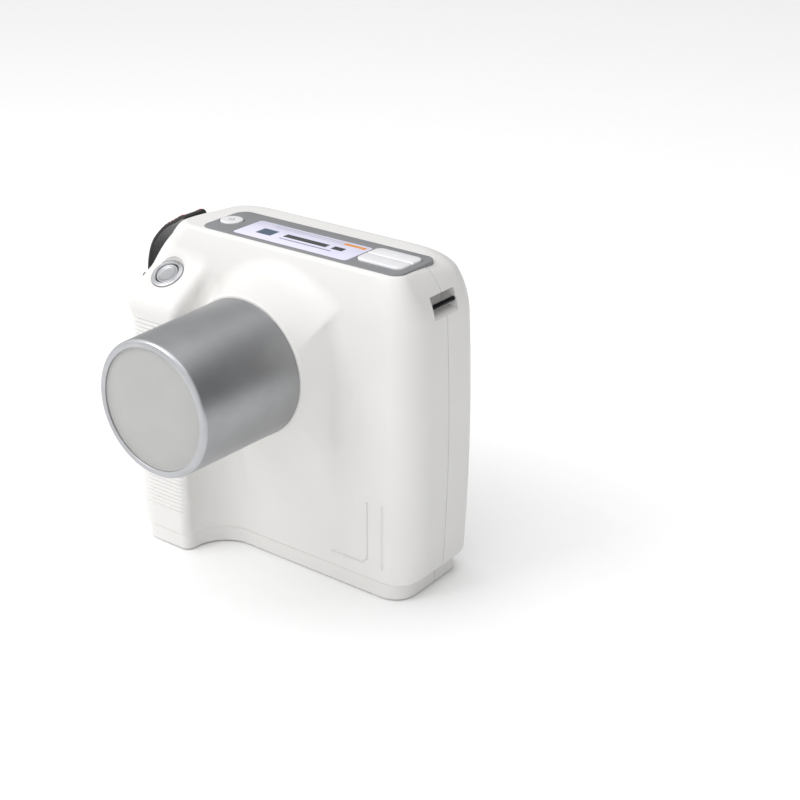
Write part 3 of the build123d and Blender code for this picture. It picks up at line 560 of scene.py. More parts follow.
def bar(name: str, start: Sequence[float], end: Sequence[float], r: float, edge: float = 0.0,
        around: int = 48) -> bpy.types.Object:
    """Round bar between two points.

    Args:
        name: Name of the object.
        start: Middle of one end.
        end: Middle of the other end.
        r: Radius.
        edge: Radius of the rounding at both ends.
        around: Steps round the bar.

    Returns:
        The object.
    """
    run = np.array(end, float) - np.array(start, float)
    length = float(np.linalg.norm(run))
    z_way = run / length
    helper = np.array([1.0, 0.0, 0.0]) if abs(z_way[0]) < 0.9 else np.array([0.0, 1.0, 0.0])
    x_way = np.cross(helper, z_way)
    x_way /= np.linalg.norm(x_way)
    placing = Placing(tuple(start), tuple(x_way), tuple(z_way))
    profile = [(r - inset, height) for height, inset in soft_levels(0.0, length, edge, edge, 3)] if edge else \
        [(r, 0.0), (r, length)]
    return lathe(name, profile, placing, around=around)


def sweep(name: str, path: Array, section: Array, closed: bool = False,
          side: Sequence[float] = (0.0, 1.0, 0.0)) -> bpy.types.Object:
    """Carry a section along a path.

    Args:
        name: Name of the object.
        path: N by 3 array of points.
        section: M by 2 array; its first coordinate runs along side, its second across the path.
        closed: True if the path joins its own start.
        side: Direction that the section's first coordinate keeps to.

    Returns:
        The object.
    """
    if closed:
        tangent = np.roll(path, -1, 0) - np.roll(path, 1, 0)
    else:
        tangent = np.gradient(path, axis=0)
    tangent /= np.linalg.norm(tangent, axis=1)[:, None]
    rings = []
    for point, way in zip(path, tangent):
        across = np.cross(way, side)
        across /= np.linalg.norm(across)
        along = np.cross(across, way)
        rings.append(point + section[:, :1] * along + section[:, 1:] * across)
    return loft(name, rings, closed)


def bake(piece: bpy.types.Object) -> bpy.types.Object:
    """Apply a piece's modifiers.

    Args:
        piece: The object.

    Returns:
        The same object.
    """
    graph = bpy.context.evaluated_depsgraph_get()
    piece.data = bpy.data.meshes.new_from_object(piece.evaluated_get(graph))
    piece.modifiers.clear()
    return piece


def carve(piece: bpy.types.Object, tools: Iterable[bpy.types.Object],
          way: str = "DIFFERENCE") -> bpy.types.Object:
    """Cut tools from a piece, one after the other, and throw them away.

    Args:
        piece: The object to change.
        tools: Closed objects.
        way: DIFFERENCE, UNION or INTERSECT.

    Returns:
        The same object.
    """
    for tool in tools:
        cut = piece.modifiers.new("cut", "BOOLEAN")
        cut.operation = way
        cut.solver = "MANIFOLD"
        cut.object = tool
        bake(piece)
        bpy.data.objects.remove(tool)
    return piece


def joined(name: str, pieces: Sequence[bpy.types.Object]) -> bpy.types.Object:
    """Put the meshes of several objects into one.

    Args:
        name: Name of the result.
        pieces: Objects with no modifiers.

    Returns:
        The joined object.
    """
    shape = bmesh.new()
    for piece in pieces:
        shape.from_mesh(piece.data)
        bpy.data.objects.remove(piece)
    mesh = bpy.data.meshes.new(name)
    shape.to_mesh(mesh)
    shape.free()
    made = bpy.data.objects.new(name, mesh)
    bpy.context.scene.collection.objects.link(made)
    return made


def smooth(piece: bpy.types.Object, angle: float = 32.0) -> bpy.types.Object:
    """Shade a piece smooth except across edges sharper than angle degrees.

    Args:
        piece: The object.
        angle: Sharpest angle in degrees that is still shaded smooth.

    Returns:
        The same object.
    """
    piece.data.shade_smooth()
    piece.data.set_sharp_from_angle(angle=math.radians(angle))
    return piece


def dress(piece: bpy.types.Object, finish: Finish, body: str = "housing",
          nodes: Sequence[str] = ()) -> bpy.types.Object:
    """Give a piece its finish and hang it on the frame.

    Args:
        piece: The object.
        finish: Its finish.
        body: The body that it rides on.
        nodes: The frame's nodes that it stands for.

    Returns:
        The same object.
    """
    piece.data.materials.clear()
    piece.data.materials.append(finish.build())
    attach(piece, body)
    if nodes:
        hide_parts(*nodes)
    count = len(piece.data.polygons) if piece.type == "MESH" else len(piece.data.splines)
    log.info("%s: %d faces or splines, %s", piece.name, count, finish.name)
    return piece


# ---------------------------------------------------------------- smooth shapes from distance fields
def convex(a: Array, b: Array, r: float | Array) -> Array:
    """Common part of two shapes, with the edge between them rounded to r."""
    return np.minimum(-r, np.maximum(a, b)) + np.hypot(np.maximum(a + r, 0), np.maximum(b + r, 0))


def concave(a: Array, b: Array, r: float | Array) -> Array:
    """Union of two shapes, with a fillet of r between them."""
    return np.maximum(r, np.minimum(a, b)) - np.hypot(np.maximum(r - a, 0), np.maximum(r - b, 0))


def ease(t: Array) -> Array:
    """Smooth step from 0 to 1."""
    t = np.clip(t, 0, 1)
    return t * t * (3 - 2 * t)


def slope_of(field: Field, points: Array, step: float = 0.04) -> Array:
    """Gradient of a field at points.

    Args:
        field: The field.
        points: N by 3 array.
        step: Half distance between the samples.

    Returns:
        N by 3 array.
    """
    out = np.empty_like(points)
    for axis in range(3):
        shift = np.zeros(3)
        shift[axis] = step
        ahead, behind = points + shift, points - shift
        out[:, axis] = (field(*ahead.T) - field(*behind.T)) / (2 * step)
    return out


def spaced(spans: Sequence[tuple[float, float, float]]) -> Array:
    """Grid lines from spans of low end, high end and spacing."""
    lines = [np.linspace(a, b, max(1, round((b - a) / step)), endpoint=False) for a, b, step in spans]
    return np.concatenate([*lines, [spans[-1][1]]])


def skin(name: str, field: Field, xs: Array, ys: Array, zs: Array) -> bpy.types.Object:
    """Skin the shape where a field is below zero, with one point in each crossed cell.

    Args:
        name: Name of the object.
        field: Signed distance, negative inside.
        xs: Grid lines in X.
        ys: Grid lines in Y.
        zs: Grid lines in Z.

    Returns:
        A closed object, its points on the field's surface.
    """
    values = np.concatenate([
        np.broadcast_to(field(part[:, None, None], ys[None, :, None], zs[None, None, :]),
                        (len(part), len(ys), len(zs))).astype(np.float32)
        for part in np.array_split(xs, 12)])
    inside = values < 0
    counts = np.zeros(tuple(n - 1 for n in inside.shape), np.int8)
    offsets = [(i, j, k) for i in (0, 1) for j in (0, 1) for k in (0, 1)]
    for i, j, k in offsets:
        counts += inside[i:i + counts.shape[0], j:j + counts.shape[1], k:k + counts.shape[2]]
    cells = np.argwhere((counts > 0) & (counts < 8))
    index = np.full(counts.shape, -1, np.int32)
    index[tuple(cells.T)] = np.arange(len(cells))
    lines = (xs, ys, zs)
    total = np.zeros((len(cells), 3))
    crossings = np.zeros(len(cells))
    for first in offsets:
        for axis in range(3):
            if first[axis]:
                continue
            second = tuple(v + (n == axis) for n, v in enumerate(first))
            a, b = cells + first, cells + second
            fa, fb = values[tuple(a.T)], values[tuple(b.T)]
            crossed = (fa < 0) != (fb < 0)
            t = np.where(crossed, fa / np.where(crossed, fa - fb, 1), 0)
            ends = [(line[a[:, n]], line[b[:, n]]) for n, line in enumerate(lines)]
            place = np.stack([low + t * (high - low) for low, high in ends], 1)
            total += place * crossed[:, None]
            crossings += crossed
    points = total / crossings[:, None]
    faces = []
    for axis in range(3):
        u, v = [(1, 2), (2, 0), (0, 1)][axis]
        low = [slice(None)] * 3
        high = [slice(None)] * 3
        low[axis], high[axis] = slice(None, -1), slice(1, None)
        edges = np.argwhere(inside[tuple(low)] != inside[tuple(high)])
        corner = []
        for du, dv in ((1, 1), (0, 1), (0, 0), (1, 0)):
            cell = edges.copy()
            cell[:, u] -= du
            cell[:, v] -= dv
            corner.append(index[tuple(cell.T)])
        quads = np.stack(corner, 1)
        flip = ~inside[tuple(edges.T)]
        quads[flip] = quads[flip][:, ::-1]
        faces.append(quads)
    for _ in range(4):
        slope = slope_of(field, points)
        points -= slope * (field(*points.T) / np.maximum((slope ** 2).sum(1), 0.05))[:, None]
    return make_mesh(name, points, np.concatenate(faces))


def field_normals(piece: bpy.types.Object, field: Field, reach: float = 0.03) -> None:
    """Take a piece's shading normals from the field wherever it lies on the field's surface.

    Args:
        piece: Object whose mesh is final.
        field: The field that it was skinned from.
        reach: How far from the surface a corner may lie.
    """
    mesh = piece.data
    mesh.shade_smooth()
    points = np.empty(len(mesh.vertices) * 3, np.float32)
    mesh.vertices.foreach_get("co", points)
    points = points.reshape(-1, 3).astype(float) / MM
    slope = slope_of(field, points)
    slope /= np.maximum(np.linalg.norm(slope, axis=1), 1e-9)[:, None]
    on_surface = np.abs(field(*points.T)) < reach
    corners = np.empty(len(mesh.loops), np.int32)
    mesh.loops.foreach_get("vertex_index", corners)
    flat = np.empty(len(mesh.polygons) * 3, np.float32)
    mesh.polygons.foreach_get("normal", flat)
    sizes = np.empty(len(mesh.polygons), np.int32)
    mesh.polygons.foreach_get("loop_total", sizes)
    face_normal = np.repeat(flat.reshape(-1, 3), sizes, 0)
    wanted = slope[corners]
    use = on_surface[corners] & ((wanted * face_normal).sum(1) > 0.75)
    normals = np.where(use[:, None], wanted, face_normal)
    mesh.normals_split_custom_set(normals.tolist())


# ---------------------------------------------------------------- housing
@dataclass
class HousingForm:
    """The housing's outer shape as a signed distance."""

    half_width: float = 88.0
    belly_drop: float = 2.0
    belly_z: float = 80.0
    belly_reach: float = 66.0
    corner_z: float = 147.0
    corner_r: float = 42.0
    top: float = 178.0
    top_edge: tuple[float, float] = (1.6, 8.0)        # radius in front and behind
    front: float = 15.0
    rear: float = 75.0
    brow_z: float = 150.0
    brow_r: float = 85.0
    front_r: float = 17.0
    front_top_r: float = 8.0
    rear_r: float = 14.0
    foot_top: float = 10.0
    foot_low: float = 0.5
    foot_half: float = 80.7
    foot_inset: float = 5.5
    foot_step: float = 1.0
    foot_rear_r: float = 9.0
    foot_grip_r: float = 10.0
    low_edge: tuple[float, float] = (0.8, 5.0)        # radius in front and at the sides
    grip_front: float = -11.0
    grip_right: float = -46.0
    grip_right_r: float = 5.0
    valley_r: float = 21.0
    slope: float = 32.0
    shoulder_edge: float = 5.0
    shoulder_blend: float = 6.0
    shoulder_reach: float = 8.0
    axis_z: float = 123.0
    boss_front: float = -9.0
    boss_r: float = 37.7
    boss_flare: tuple[float, float] = (5.0, 9.5)      # at the upper left and at the right
    boss_blend: float = 7.0
    ridge_height: float = 4.8
    hump_front: float = -4.0
    hump_knee: float = 95.0
    hump_slope: float = 0.41
    hump_right: float = 38.5
    hump_left: float = -26.0
    hump_edge: float = 9.0
    hump_blend: float = 7.0
    rib_low: float = 23.6
    rib_high: float = 132.5
    rib_pitch: float = 2.36
    rib_depth: float = 0.75
    rib_half: float = 0.62
    groove_depth: float = 0.8
    groove_half: float = 0.85
    trigger: tuple[float, float, float] = (-67.0, 6.5, 153.8)
    trigger_pad_r: float = 12.6
    trigger_pad: float = 0.45

    def side(self, x: Array, z: Array) -> Array:
        """Distance outside the swelling sides and the sloping top corners.

        Args:
            x: X of the points.
            z: Z of the points.

        Returns:
            Signed distance, negative inside.
        """
        across = np.abs(x)
        swell = self.belly_drop * ((np.minimum(z, self.corner_z) - self.belly_z) / self.belly_reach) ** 2
        at_corner = self.half_width - self.belly_drop * ((self.corner_z - self.belly_z) / self.belly_reach) ** 2
        turn = np.hypot(np.maximum(across - (at_corner - self.corner_r), 0), np.maximum(z - self.corner_z, 0))
        return np.where(z > self.corner_z, turn - self.corner_r, across - self.half_width + swell)

    def face(self, y: Array, z: Array) -> Array:
        """Distance in front of the front face, which leans back towards the top."""
        lean = np.hypot(y - self.front - self.brow_r, np.maximum(z - self.brow_z, 0)) - self.brow_r
        return np.where(z > self.brow_z, lean, self.front - y)

    def shoulder(self, y: Array, z: Array) -> Array:
        """Distance above the sloping shoulder that carries the trigger."""
        turn = math.radians(self.slope)
        return (z - self.trigger[2]) * math.cos(turn) - (y - self.trigger[1]) * math.sin(turn)

    def front_form(self, x: Array, y: Array, z: Array) -> Array:
        """Distance in front of the face with the grip, joined by the finger valley.

        Args:
            x: X of the points.
            y: Y of the points.
            z: Z of the points.

        Returns:
            Signed distance, negative inside.
        """
        above = self.shoulder(y, z)
        post = convex(self.grip_front - y, x - self.grip_right, self.grip_right_r)
        post = convex(post, above, self.shoulder_edge)
        fade = ease((above + 2 * self.shoulder_reach) / 14.0)
        return concave(self.face(y, z), post, self.valley_r - (self.valley_r - self.shoulder_blend) * fade)

    def body(self, x: Array, y: Array, z: Array) -> Array:
        """Main body and grip above the foot; its vertical edges grow tighter at the shoulder and at the top.

        Args:
            x: X of the points.
            y: Y of the points.
            z: Z of the points.

        Returns:
            Signed distance, negative inside.
        """
        over_shoulder = np.exp(-(self.shoulder(y, z) / self.shoulder_reach) ** 2) * ease((-40.0 - x) / 10.0)
        tight = np.maximum(over_shoulder, ease((z - 152.0) / 26.0))
        corner = self.front_r - (self.front_r - self.front_top_r) * tight
        plan = convex(self.side(x, z), self.front_form(x, y, z), corner)
        plan = convex(plan, y - self.rear, self.rear_r)
        top_r = np.interp(ease((y - 30.0) / 40.0), (0, 1), self.top_edge)
        low_r = np.interp(ease((y - self.front - 2.0) / 16.0), (0, 1), self.low_edge)
        return convex(convex(plan, z - self.top, top_r), self.foot_top - z, low_r)

    def foot(self, x: Array, y: Array, z: Array) -> Array:
        """Foot under the body and under the grip, set in at the sides and behind.

        Args:
            x: X of the points.
            y: Y of the points.
            z: Z of the points.

        Returns:
            Signed distance, negative inside.
        """
        main = convex(np.abs(x) - self.foot_half, self.front + self.foot_step - y, self.front_r - 4.0)
        grip = convex(-x - self.foot_half, self.grip_front + self.foot_step - y, self.foot_grip_r)
        grip = convex(grip, x - self.grip_right, self.grip_right_r)
        plan = convex(concave(main, grip, self.valley_r), y - self.rear + self.foot_inset, self.foot_rear_r)
        return np.maximum(convex(plan, self.foot_low - z, 0.8), z - self.foot_top - 3.0)

    def out(self, y: Array) -> Array:
        """Share of the way from the boss's front back to the face."""
        return np.clip((y - self.boss_front) / (self.front - self.boss_front), 0, 1.2)

    def boss(self, x: Array, y: Array, z: Array) -> Array:
        """Flared boss behind the cone, with a ridge on its upper right that turns upwards as it runs back.

        Args:
            x: X of the points.
            y: Y of the points.
            z: Z of the points.

        Returns:
            Signed distance, negative inside.
        """
        out = self.out(y)
        turn = np.degrees(np.arctan2(z - self.axis_z, x))
        off = turn - 27.0 - 12.0 * out
        off = np.sqrt(np.where(off > 0, off * 0.5, off) ** 2 + 1.5)
        ridge = self.ridge_height * out * np.exp(-off / 7.0)
        low, high = self.boss_flare
        flare = low + (high - low) * np.exp(-((turn - 12.0) / 45.0) ** 2)
        wall = np.hypot(x, z - self.axis_z) - self.boss_r - flare * out - ridge
        return np.maximum(convex(wall * 0.97, self.boss_front - y, 1.0), y - self.front - 12.0)

    def hump(self, x: Array, y: Array, z: Array) -> Array:
        """Swelling under the boss that fades into the face.

        Args:
            x: X of the points.
            y: Y of the points.
            z: Z of the points.

        Returns:
            Signed distance, negative inside.
        """
        crest = self.hump_front + np.maximum(self.hump_knee - z, 0) * self.hump_slope
        flank = np.maximum(x - self.hump_right - 8.0 * self.out(y), self.hump_left - x)
        shape = convex(convex((crest - y) * 0.92, flank, self.hump_edge), z - self.axis_z - 6.0, 24.0)
        return np.maximum(shape, y - self.front - 12.0)

    def smooth(self, x: Array, y: Array, z: Array) -> Array:
        """The whole housing without ribs and grooves.

        Args:
            x: X of the points.
            y: Y of the points.
            z: Z of the points.

        Returns:
            Signed distance, negative inside.
        """
        shape = concave(self.body(x, y, z), self.hump(x, y, z), self.hump_blend)
        shape = concave(shape, self.boss(x, y, z), self.boss_blend)
        shape = concave(shape, self.foot(x, y, z), 0.8)
        px, py, pz = self.trigger
        turn = math.radians(self.slope)
        around = np.hypot(x - px, (y - py) * math.cos(turn) + (z - pz) * math.sin(turn))
        near = np.exp(-(self.shoulder(y, z) / 4.0) ** 2)
        return shape - self.trigger_pad * near * np.exp(-((around - self.trigger_pad_r) / 1.7) ** 2)

    def ribs(self, x: Array, y: Array, z: Array) -> Array:
        """Depth of the grip's ribbing, from the valley round the left side.

        Args:
            x: X of the points.
            y: Y of the points.
            z: Z of the points.

        Returns:
            Depth below the smooth surface.
        """
        phase = (z - self.rib_low) / self.rib_pitch
        cut = np.exp(-((phase - np.round(phase)) * self.rib_pitch / self.rib_half) ** 2)
        rows = ease((z - self.rib_low + 0.8) / 0.5) * ease((self.rib_high + 0.8 - z) / 0.5)
        ends = ease((self.grip_right - 0.6 - x) / 2.0) * ease((34.0 - y) / 3.0)
        return self.rib_depth * cut * rows * ends

    def groove(self, x: Array, y: Array, z: Array) -> Array:
        """Depth of the decorative grooves low on the front face.

        Args:
            x: X of the points.
            y: Y of the points.
            z: Z of the points.

        Returns:
            Depth below the smooth surface.
        """
        def line(ax: float, az: float, bx: float, bz: float) -> Array:
            """Distance from a straight line on the face.

            Args:
                ax: X of one end.
                az: Z of one end.
                bx: X of the other end.
                bz: Z of the other end.

            Returns:
                Distance from the line.
            """
            dx, dz = bx - ax, bz - az
            t = np.clip(((x - ax) * dx + (z - az) * dz) / (dx * dx + dz * dz), 0, 1)
            return np.hypot(x - ax - t * dx, z - az - t * dz)

        near = np.minimum(line(59.2, 21.4, 59.2, 54.5), line(36.0, 18.5, 56.4, 18.5))
        near = np.minimum(near, line(56.4, 18.5, 59.2, 21.4))
        near = np.minimum(near, line(69.0, 18.4, 69.0, 54.8))
        return self.groove_depth * ease((self.groove_half - near) / self.groove_half) * (y < self.front + 8.0)

    def full(self, x: Array, y: Array, z: Array) -> Array:
        """The whole housing with its ribs and grooves."""
        return self.smooth(x, y, z) + self.ribs(x, y, z) + self.groove(x, y, z)


@dataclass
class Housing:
    """Both moulded shells, hollow, with their pockets."""

    form: HousingForm
    wall: float = 2.5
    parting: float = 46.0
    parting_gap: float = 0.08
    panel: tuple[float, float, float, float, float] = (7.5, 39.4, 129.7, 34.8, 7.0)
    pin_x: float = 81.8
    pin_z: float = 159.7
    lug_y: tuple[float, float] = (36.0, 56.0)
    lug_z: tuple[float, float] = (155.8, 166.2)
    lug_floor: float = 74.0
    display: tuple[float, float, float, float] = (-28.0, 28.0, 110.0, 146.0)
    trigger_r: float = 9.2
    screws: tuple = ((-76.3, 19.7), (76.3, 19.7), (-76.3, 84.0), (76.3, 84.0), (-72.3, 146.0), (72.3, 146.0))
    pads: tuple = ((-68.5, 2.0), (68.5, 28.0), (-68.5, 56.5), (68.5, 56.5))
    socket: tuple[float, float] = (55.0, 30.0)

    def trigger_placing(self) -> Placing:
        """Axes of the trigger on the shoulder."""
        turn = math.radians(self.form.slope)
        return Placing(self.form.trigger, z_way=(0.0, -math.sin(turn), math.cos(turn)))

    def outline(self, grow: float) -> Callable[[float], Array]:
        """Outline of the panel's recess, grown by some millimetres."""
        cx, cy, sx, sy, r = self.panel
        return outlined(cx - sx / 2, cx + sx / 2, cy - sy / 2, cy + sy / 2, r, grow)

    def cavity(self) -> bpy.types.Object:
        """Hollow inside of the housing, with the blocks that carry the pockets left standing.

        Returns:
            The hollow as a closed object.
        """
        form = self.form
        xs = spaced([(-90, 90, 3.0)])
        ys = spaced([(-12, 78, 3.0)])
        zs = spaced([(0, 180, 3.0)])
        space = skin("cavity", lambda x, y, z: form.smooth(x, y, z) + self.wall, xs, ys, zs)
        blocks = []
        for side in (-1, 1):
            x0, x1 = sorted((side * (self.lug_floor - 3.0), side * 95.0))
            blocks.append(brick("lug_block", (x0, self.lug_y[0] - 3, self.lug_z[0] - 5),
                                (x1, self.lug_y[1] + 3, self.lug_z[1] + 3)))
        blocks.append(slab("seat", self.outline(4.0), [(173.6, 0), (185, 0)]))
        blocks.append(lathe("collar", [(11.4, -9.5), (11.4, 5.0)], self.trigger_placing()))
        for x, z in self.screws:
            blocks.append(bar("post", (x, 26, z), (x, 80, z), 4.2))
        return carve(space, blocks)

    def lug_tool(self, side: int) -> bpy.types.Object:
        """Cutter for a strap recess: square in section, with a ramp below its mouth.

        Args:
            side: 1 for the right side, -1 for the left.

        Returns:
            The cutter.
        """
        (y0, y1), (z0, z1) = self.lug_y, self.lug_z
        mouth = 88.0
        outline = [(self.lug_floor, z0 + 0.6), (self.lug_floor + 3.0, z0), (self.pin_x - 1.6, z0),
                   (mouth, z0 - 2.6), (mouth, z1 - 0.6), (self.pin_x - 4.0, z1 - 0.6),
                   (self.lug_floor, z1 - 0.6)]
        rings = [np.array([(side * x, y, z) for x, z in outline])
                 for y in (y0, y1)]
        return loft("lug_tool", rings)

    def parting_tool(self) -> bpy.types.Object:
        """Ring with a diamond section that chamfers both shells along the parting line.

        Returns:
            The cutter.
        """
        turns = np.linspace(0, 2 * math.pi, 900, endpoint=False)
        way_x, way_z = np.cos(turns), np.sin(turns)
        low, high = np.full(len(turns), 20.0), np.full(len(turns), 170.0)
        flat = np.full(len(turns), self.parting)
        for _ in range(30):
            middle = (low + high) / 2
            inside = self.form.smooth(middle * way_x, flat, 90.0 + middle * way_z) < 0
            low, high = np.where(inside, middle, low), np.where(inside, high, middle)
        points = np.stack([low * way_x, flat, 90.0 + low * way_z], 1)
        out = slope_of(self.form.smooth, points)
        out[:, 1] = 0
        out /= np.linalg.norm(out, axis=1)[:, None]
        across = np.array([0.0, 1.0, 0.0])
        rings = [np.stack([p + 0.6 * n, p + 0.42 * across, p - 1.0 * n, p - 0.42 * across])
                 for p, n in zip(points, out)]
        return loft("parting_tool", rings, closed=True)

    def tools(self) -> list[bpy.types.Object]:
        """Cutters for everything that is let into the shells.

        Returns:
            Closed objects to cut away.
        """
        form = self.form
        made = [self.lug_tool(side) for side in (-1, 1)]
        made.append(slab("panel_tool", self.outline(0.06),
                         [(176.0, 0.0), (177.75, 0.0), (178.0, -0.12), (178.4, -0.5)]))
        made.append(slab("panel_through", self.outline(-2.0), [(165.0, 0.0), (176.5, 0.0)]))
        made.append(lathe("trigger_tool", [(self.trigger_r, -25.0), (self.trigger_r, -0.35),
                                           (self.trigger_r + 0.5, 0.15), (self.trigger_r + 1.0, 1.0),
                                           (self.trigger_r + 2.6, 9.0)],
                          self.trigger_placing()))
        made.append(bar("cone_tool", (0, form.boss_front - 2, form.axis_z), (0, 6, form.axis_z), 34.25,
                        around=128))
        for side in (-1, 1):
            made.append(bar("pin_tool", (side * self.pin_x, self.lug_y[0] - 2.05, self.pin_z),
                            (side * self.pin_x, self.lug_y[1] + 2.05, self.pin_z), 1.3))
        x0, x1, z0, z1 = self.display
        glass = outlined(x0, x1, -z1, -z0, 3.0)
        rear_facing = facing_back(form.rear)
        made.append(slab("display_tool", glass, [(-1.5, -0.05), (-0.2, -0.05), (0.3, -0.5)], rear_facing))
        made.append(slab("display_through", glass, [(-8.0, 1.2), (-1.0, 1.2)], rear_facing))
        for x, z in self.screws:
            made.append(bar("screw_hole", (x, form.rear - 4.5, z), (x, form.rear + 2, z), 3.0))
            made.append(bar("shank_hole", (x, self.parting - 12, z), (x, form.rear - 4, z), 1.55))
        for x, y in self.pads:
            made.append(bar("pad_hole", (x, y, -2), (x, y, 1.5), 6.05))
        y, z = self.socket
        made.append(bar("socket_hole", (-95, y, z), (-70, y, z), 3.95))
        made.append(self.parting_tool())
        return made

    def build(self) -> None:
        """Make and dress both shells."""
        form = self.form
        xs = spaced([(-90, -62, 1.1), (-62, -41, 0.8), (-41, 30, 1.2), (30, 57, 1.0), (57, 61.4, 0.4),
                     (61.4, 67, 0.9), (67, 71, 0.4), (71, 90, 1.1)])
        ys = spaced([(-13, 26, 0.9), (26, 66, 1.4), (66, 77, 0.9)])
        zs = spaced([(-1, 14, 0.75), (14, 21, 0.45), (21, 135, 0.472), (135, 163, 0.9), (163, 180, 0.7)])
        solid = skin("housing", form.full, xs, ys, zs)
        carve(solid, [self.cavity(), *self.tools()])
        shells = {
            "front_housing": ("front_shell", (-200, -100, -50), (200, self.parting - self.parting_gap, 300)),
            "rear_housing": ("rear_shell", (-200, self.parting + self.parting_gap, -50), (200, 200, 300)),
        }
        for name, (node, low, high) in shells.items():
            half = bpy.data.objects.new(name, solid.data.copy())
            bpy.context.scene.collection.objects.link(half)
            carve(half, [brick("half", low, high)], "INTERSECT")
            field_normals(half, form.full)
            dress(half, WHITE_ABS, nodes=[node])
        bpy.data.objects.remove(solid)


# ---------------------------------------------------------------- beam cone
@dataclass
class BeamCone:
    """The turned cone with its window."""

    axis_z: float = 123.0
    tip: float = -75.0
    base: float = -9.0
    tip_r: float = 35.0
    base_r: float = 36.4
    edge_r: float = 2.0
    lip_r: float = 31.15
    bore_r: float = 33.0
    spigot_r: float = 34.2
    spigot_end: float = -3.0

    def placing(self) -> Placing:
        """Axes whose Z runs back along the cone."""
        return facing_back(0.0, 0.0, self.axis_z)

    def build(self) -> None:
        """Make the barrel and the window."""
        r = self.edge_r
        tip = self.tip
        profile = [(self.lip_r, tip + 0.95), (self.lip_r, tip + 0.35)]
        profile += arc(self.lip_r + 0.35, tip + 0.35, 0.35, 180, 270, 3)
        profile += arc(self.tip_r - r, tip + r, r, -90, 0, 8)
        profile += [(self.tip_r + 0.45, tip + 22.0), (self.tip_r + 0.93, tip + 44.0)]
        profile += [(self.base_r, self.base - 0.5), (self.base_r - 0.35, self.base - 0.05),
                    (self.spigot_r, self.base), (self.spigot_r, self.spigot_end),
                    (self.bore_r, self.spigot_end),
                    (self.bore_r, tip + 0.95)]
        barrel = lathe("cone", profile, self.placing(), hollow=True, around=192)
        dress(smooth(barrel, 30), BLASTED_ALUMINIUM, nodes=["cone_barrel"])
        barrel.data.materials.append(TURNED_ALUMINIUM.build())
        for face in barrel.data.polygons:
            face.material_index = int(face.center.y < (tip + self.edge_r - 0.4) * MM)
        face = tip + 1.0
        outer = self.bore_r - 0.05
        window = lathe("window", [(outer, face + 1.5), (outer, face), (30.6, face), (30.3, face + 0.12),
                                  (29.9, face + 0.12), (29.6, face + 0.02), (15.0, face), (0.4, face)],
                       self.placing(), around=160)
        dress(smooth(window, 30), FROSTED_WINDOW, nodes=["cone_window"])


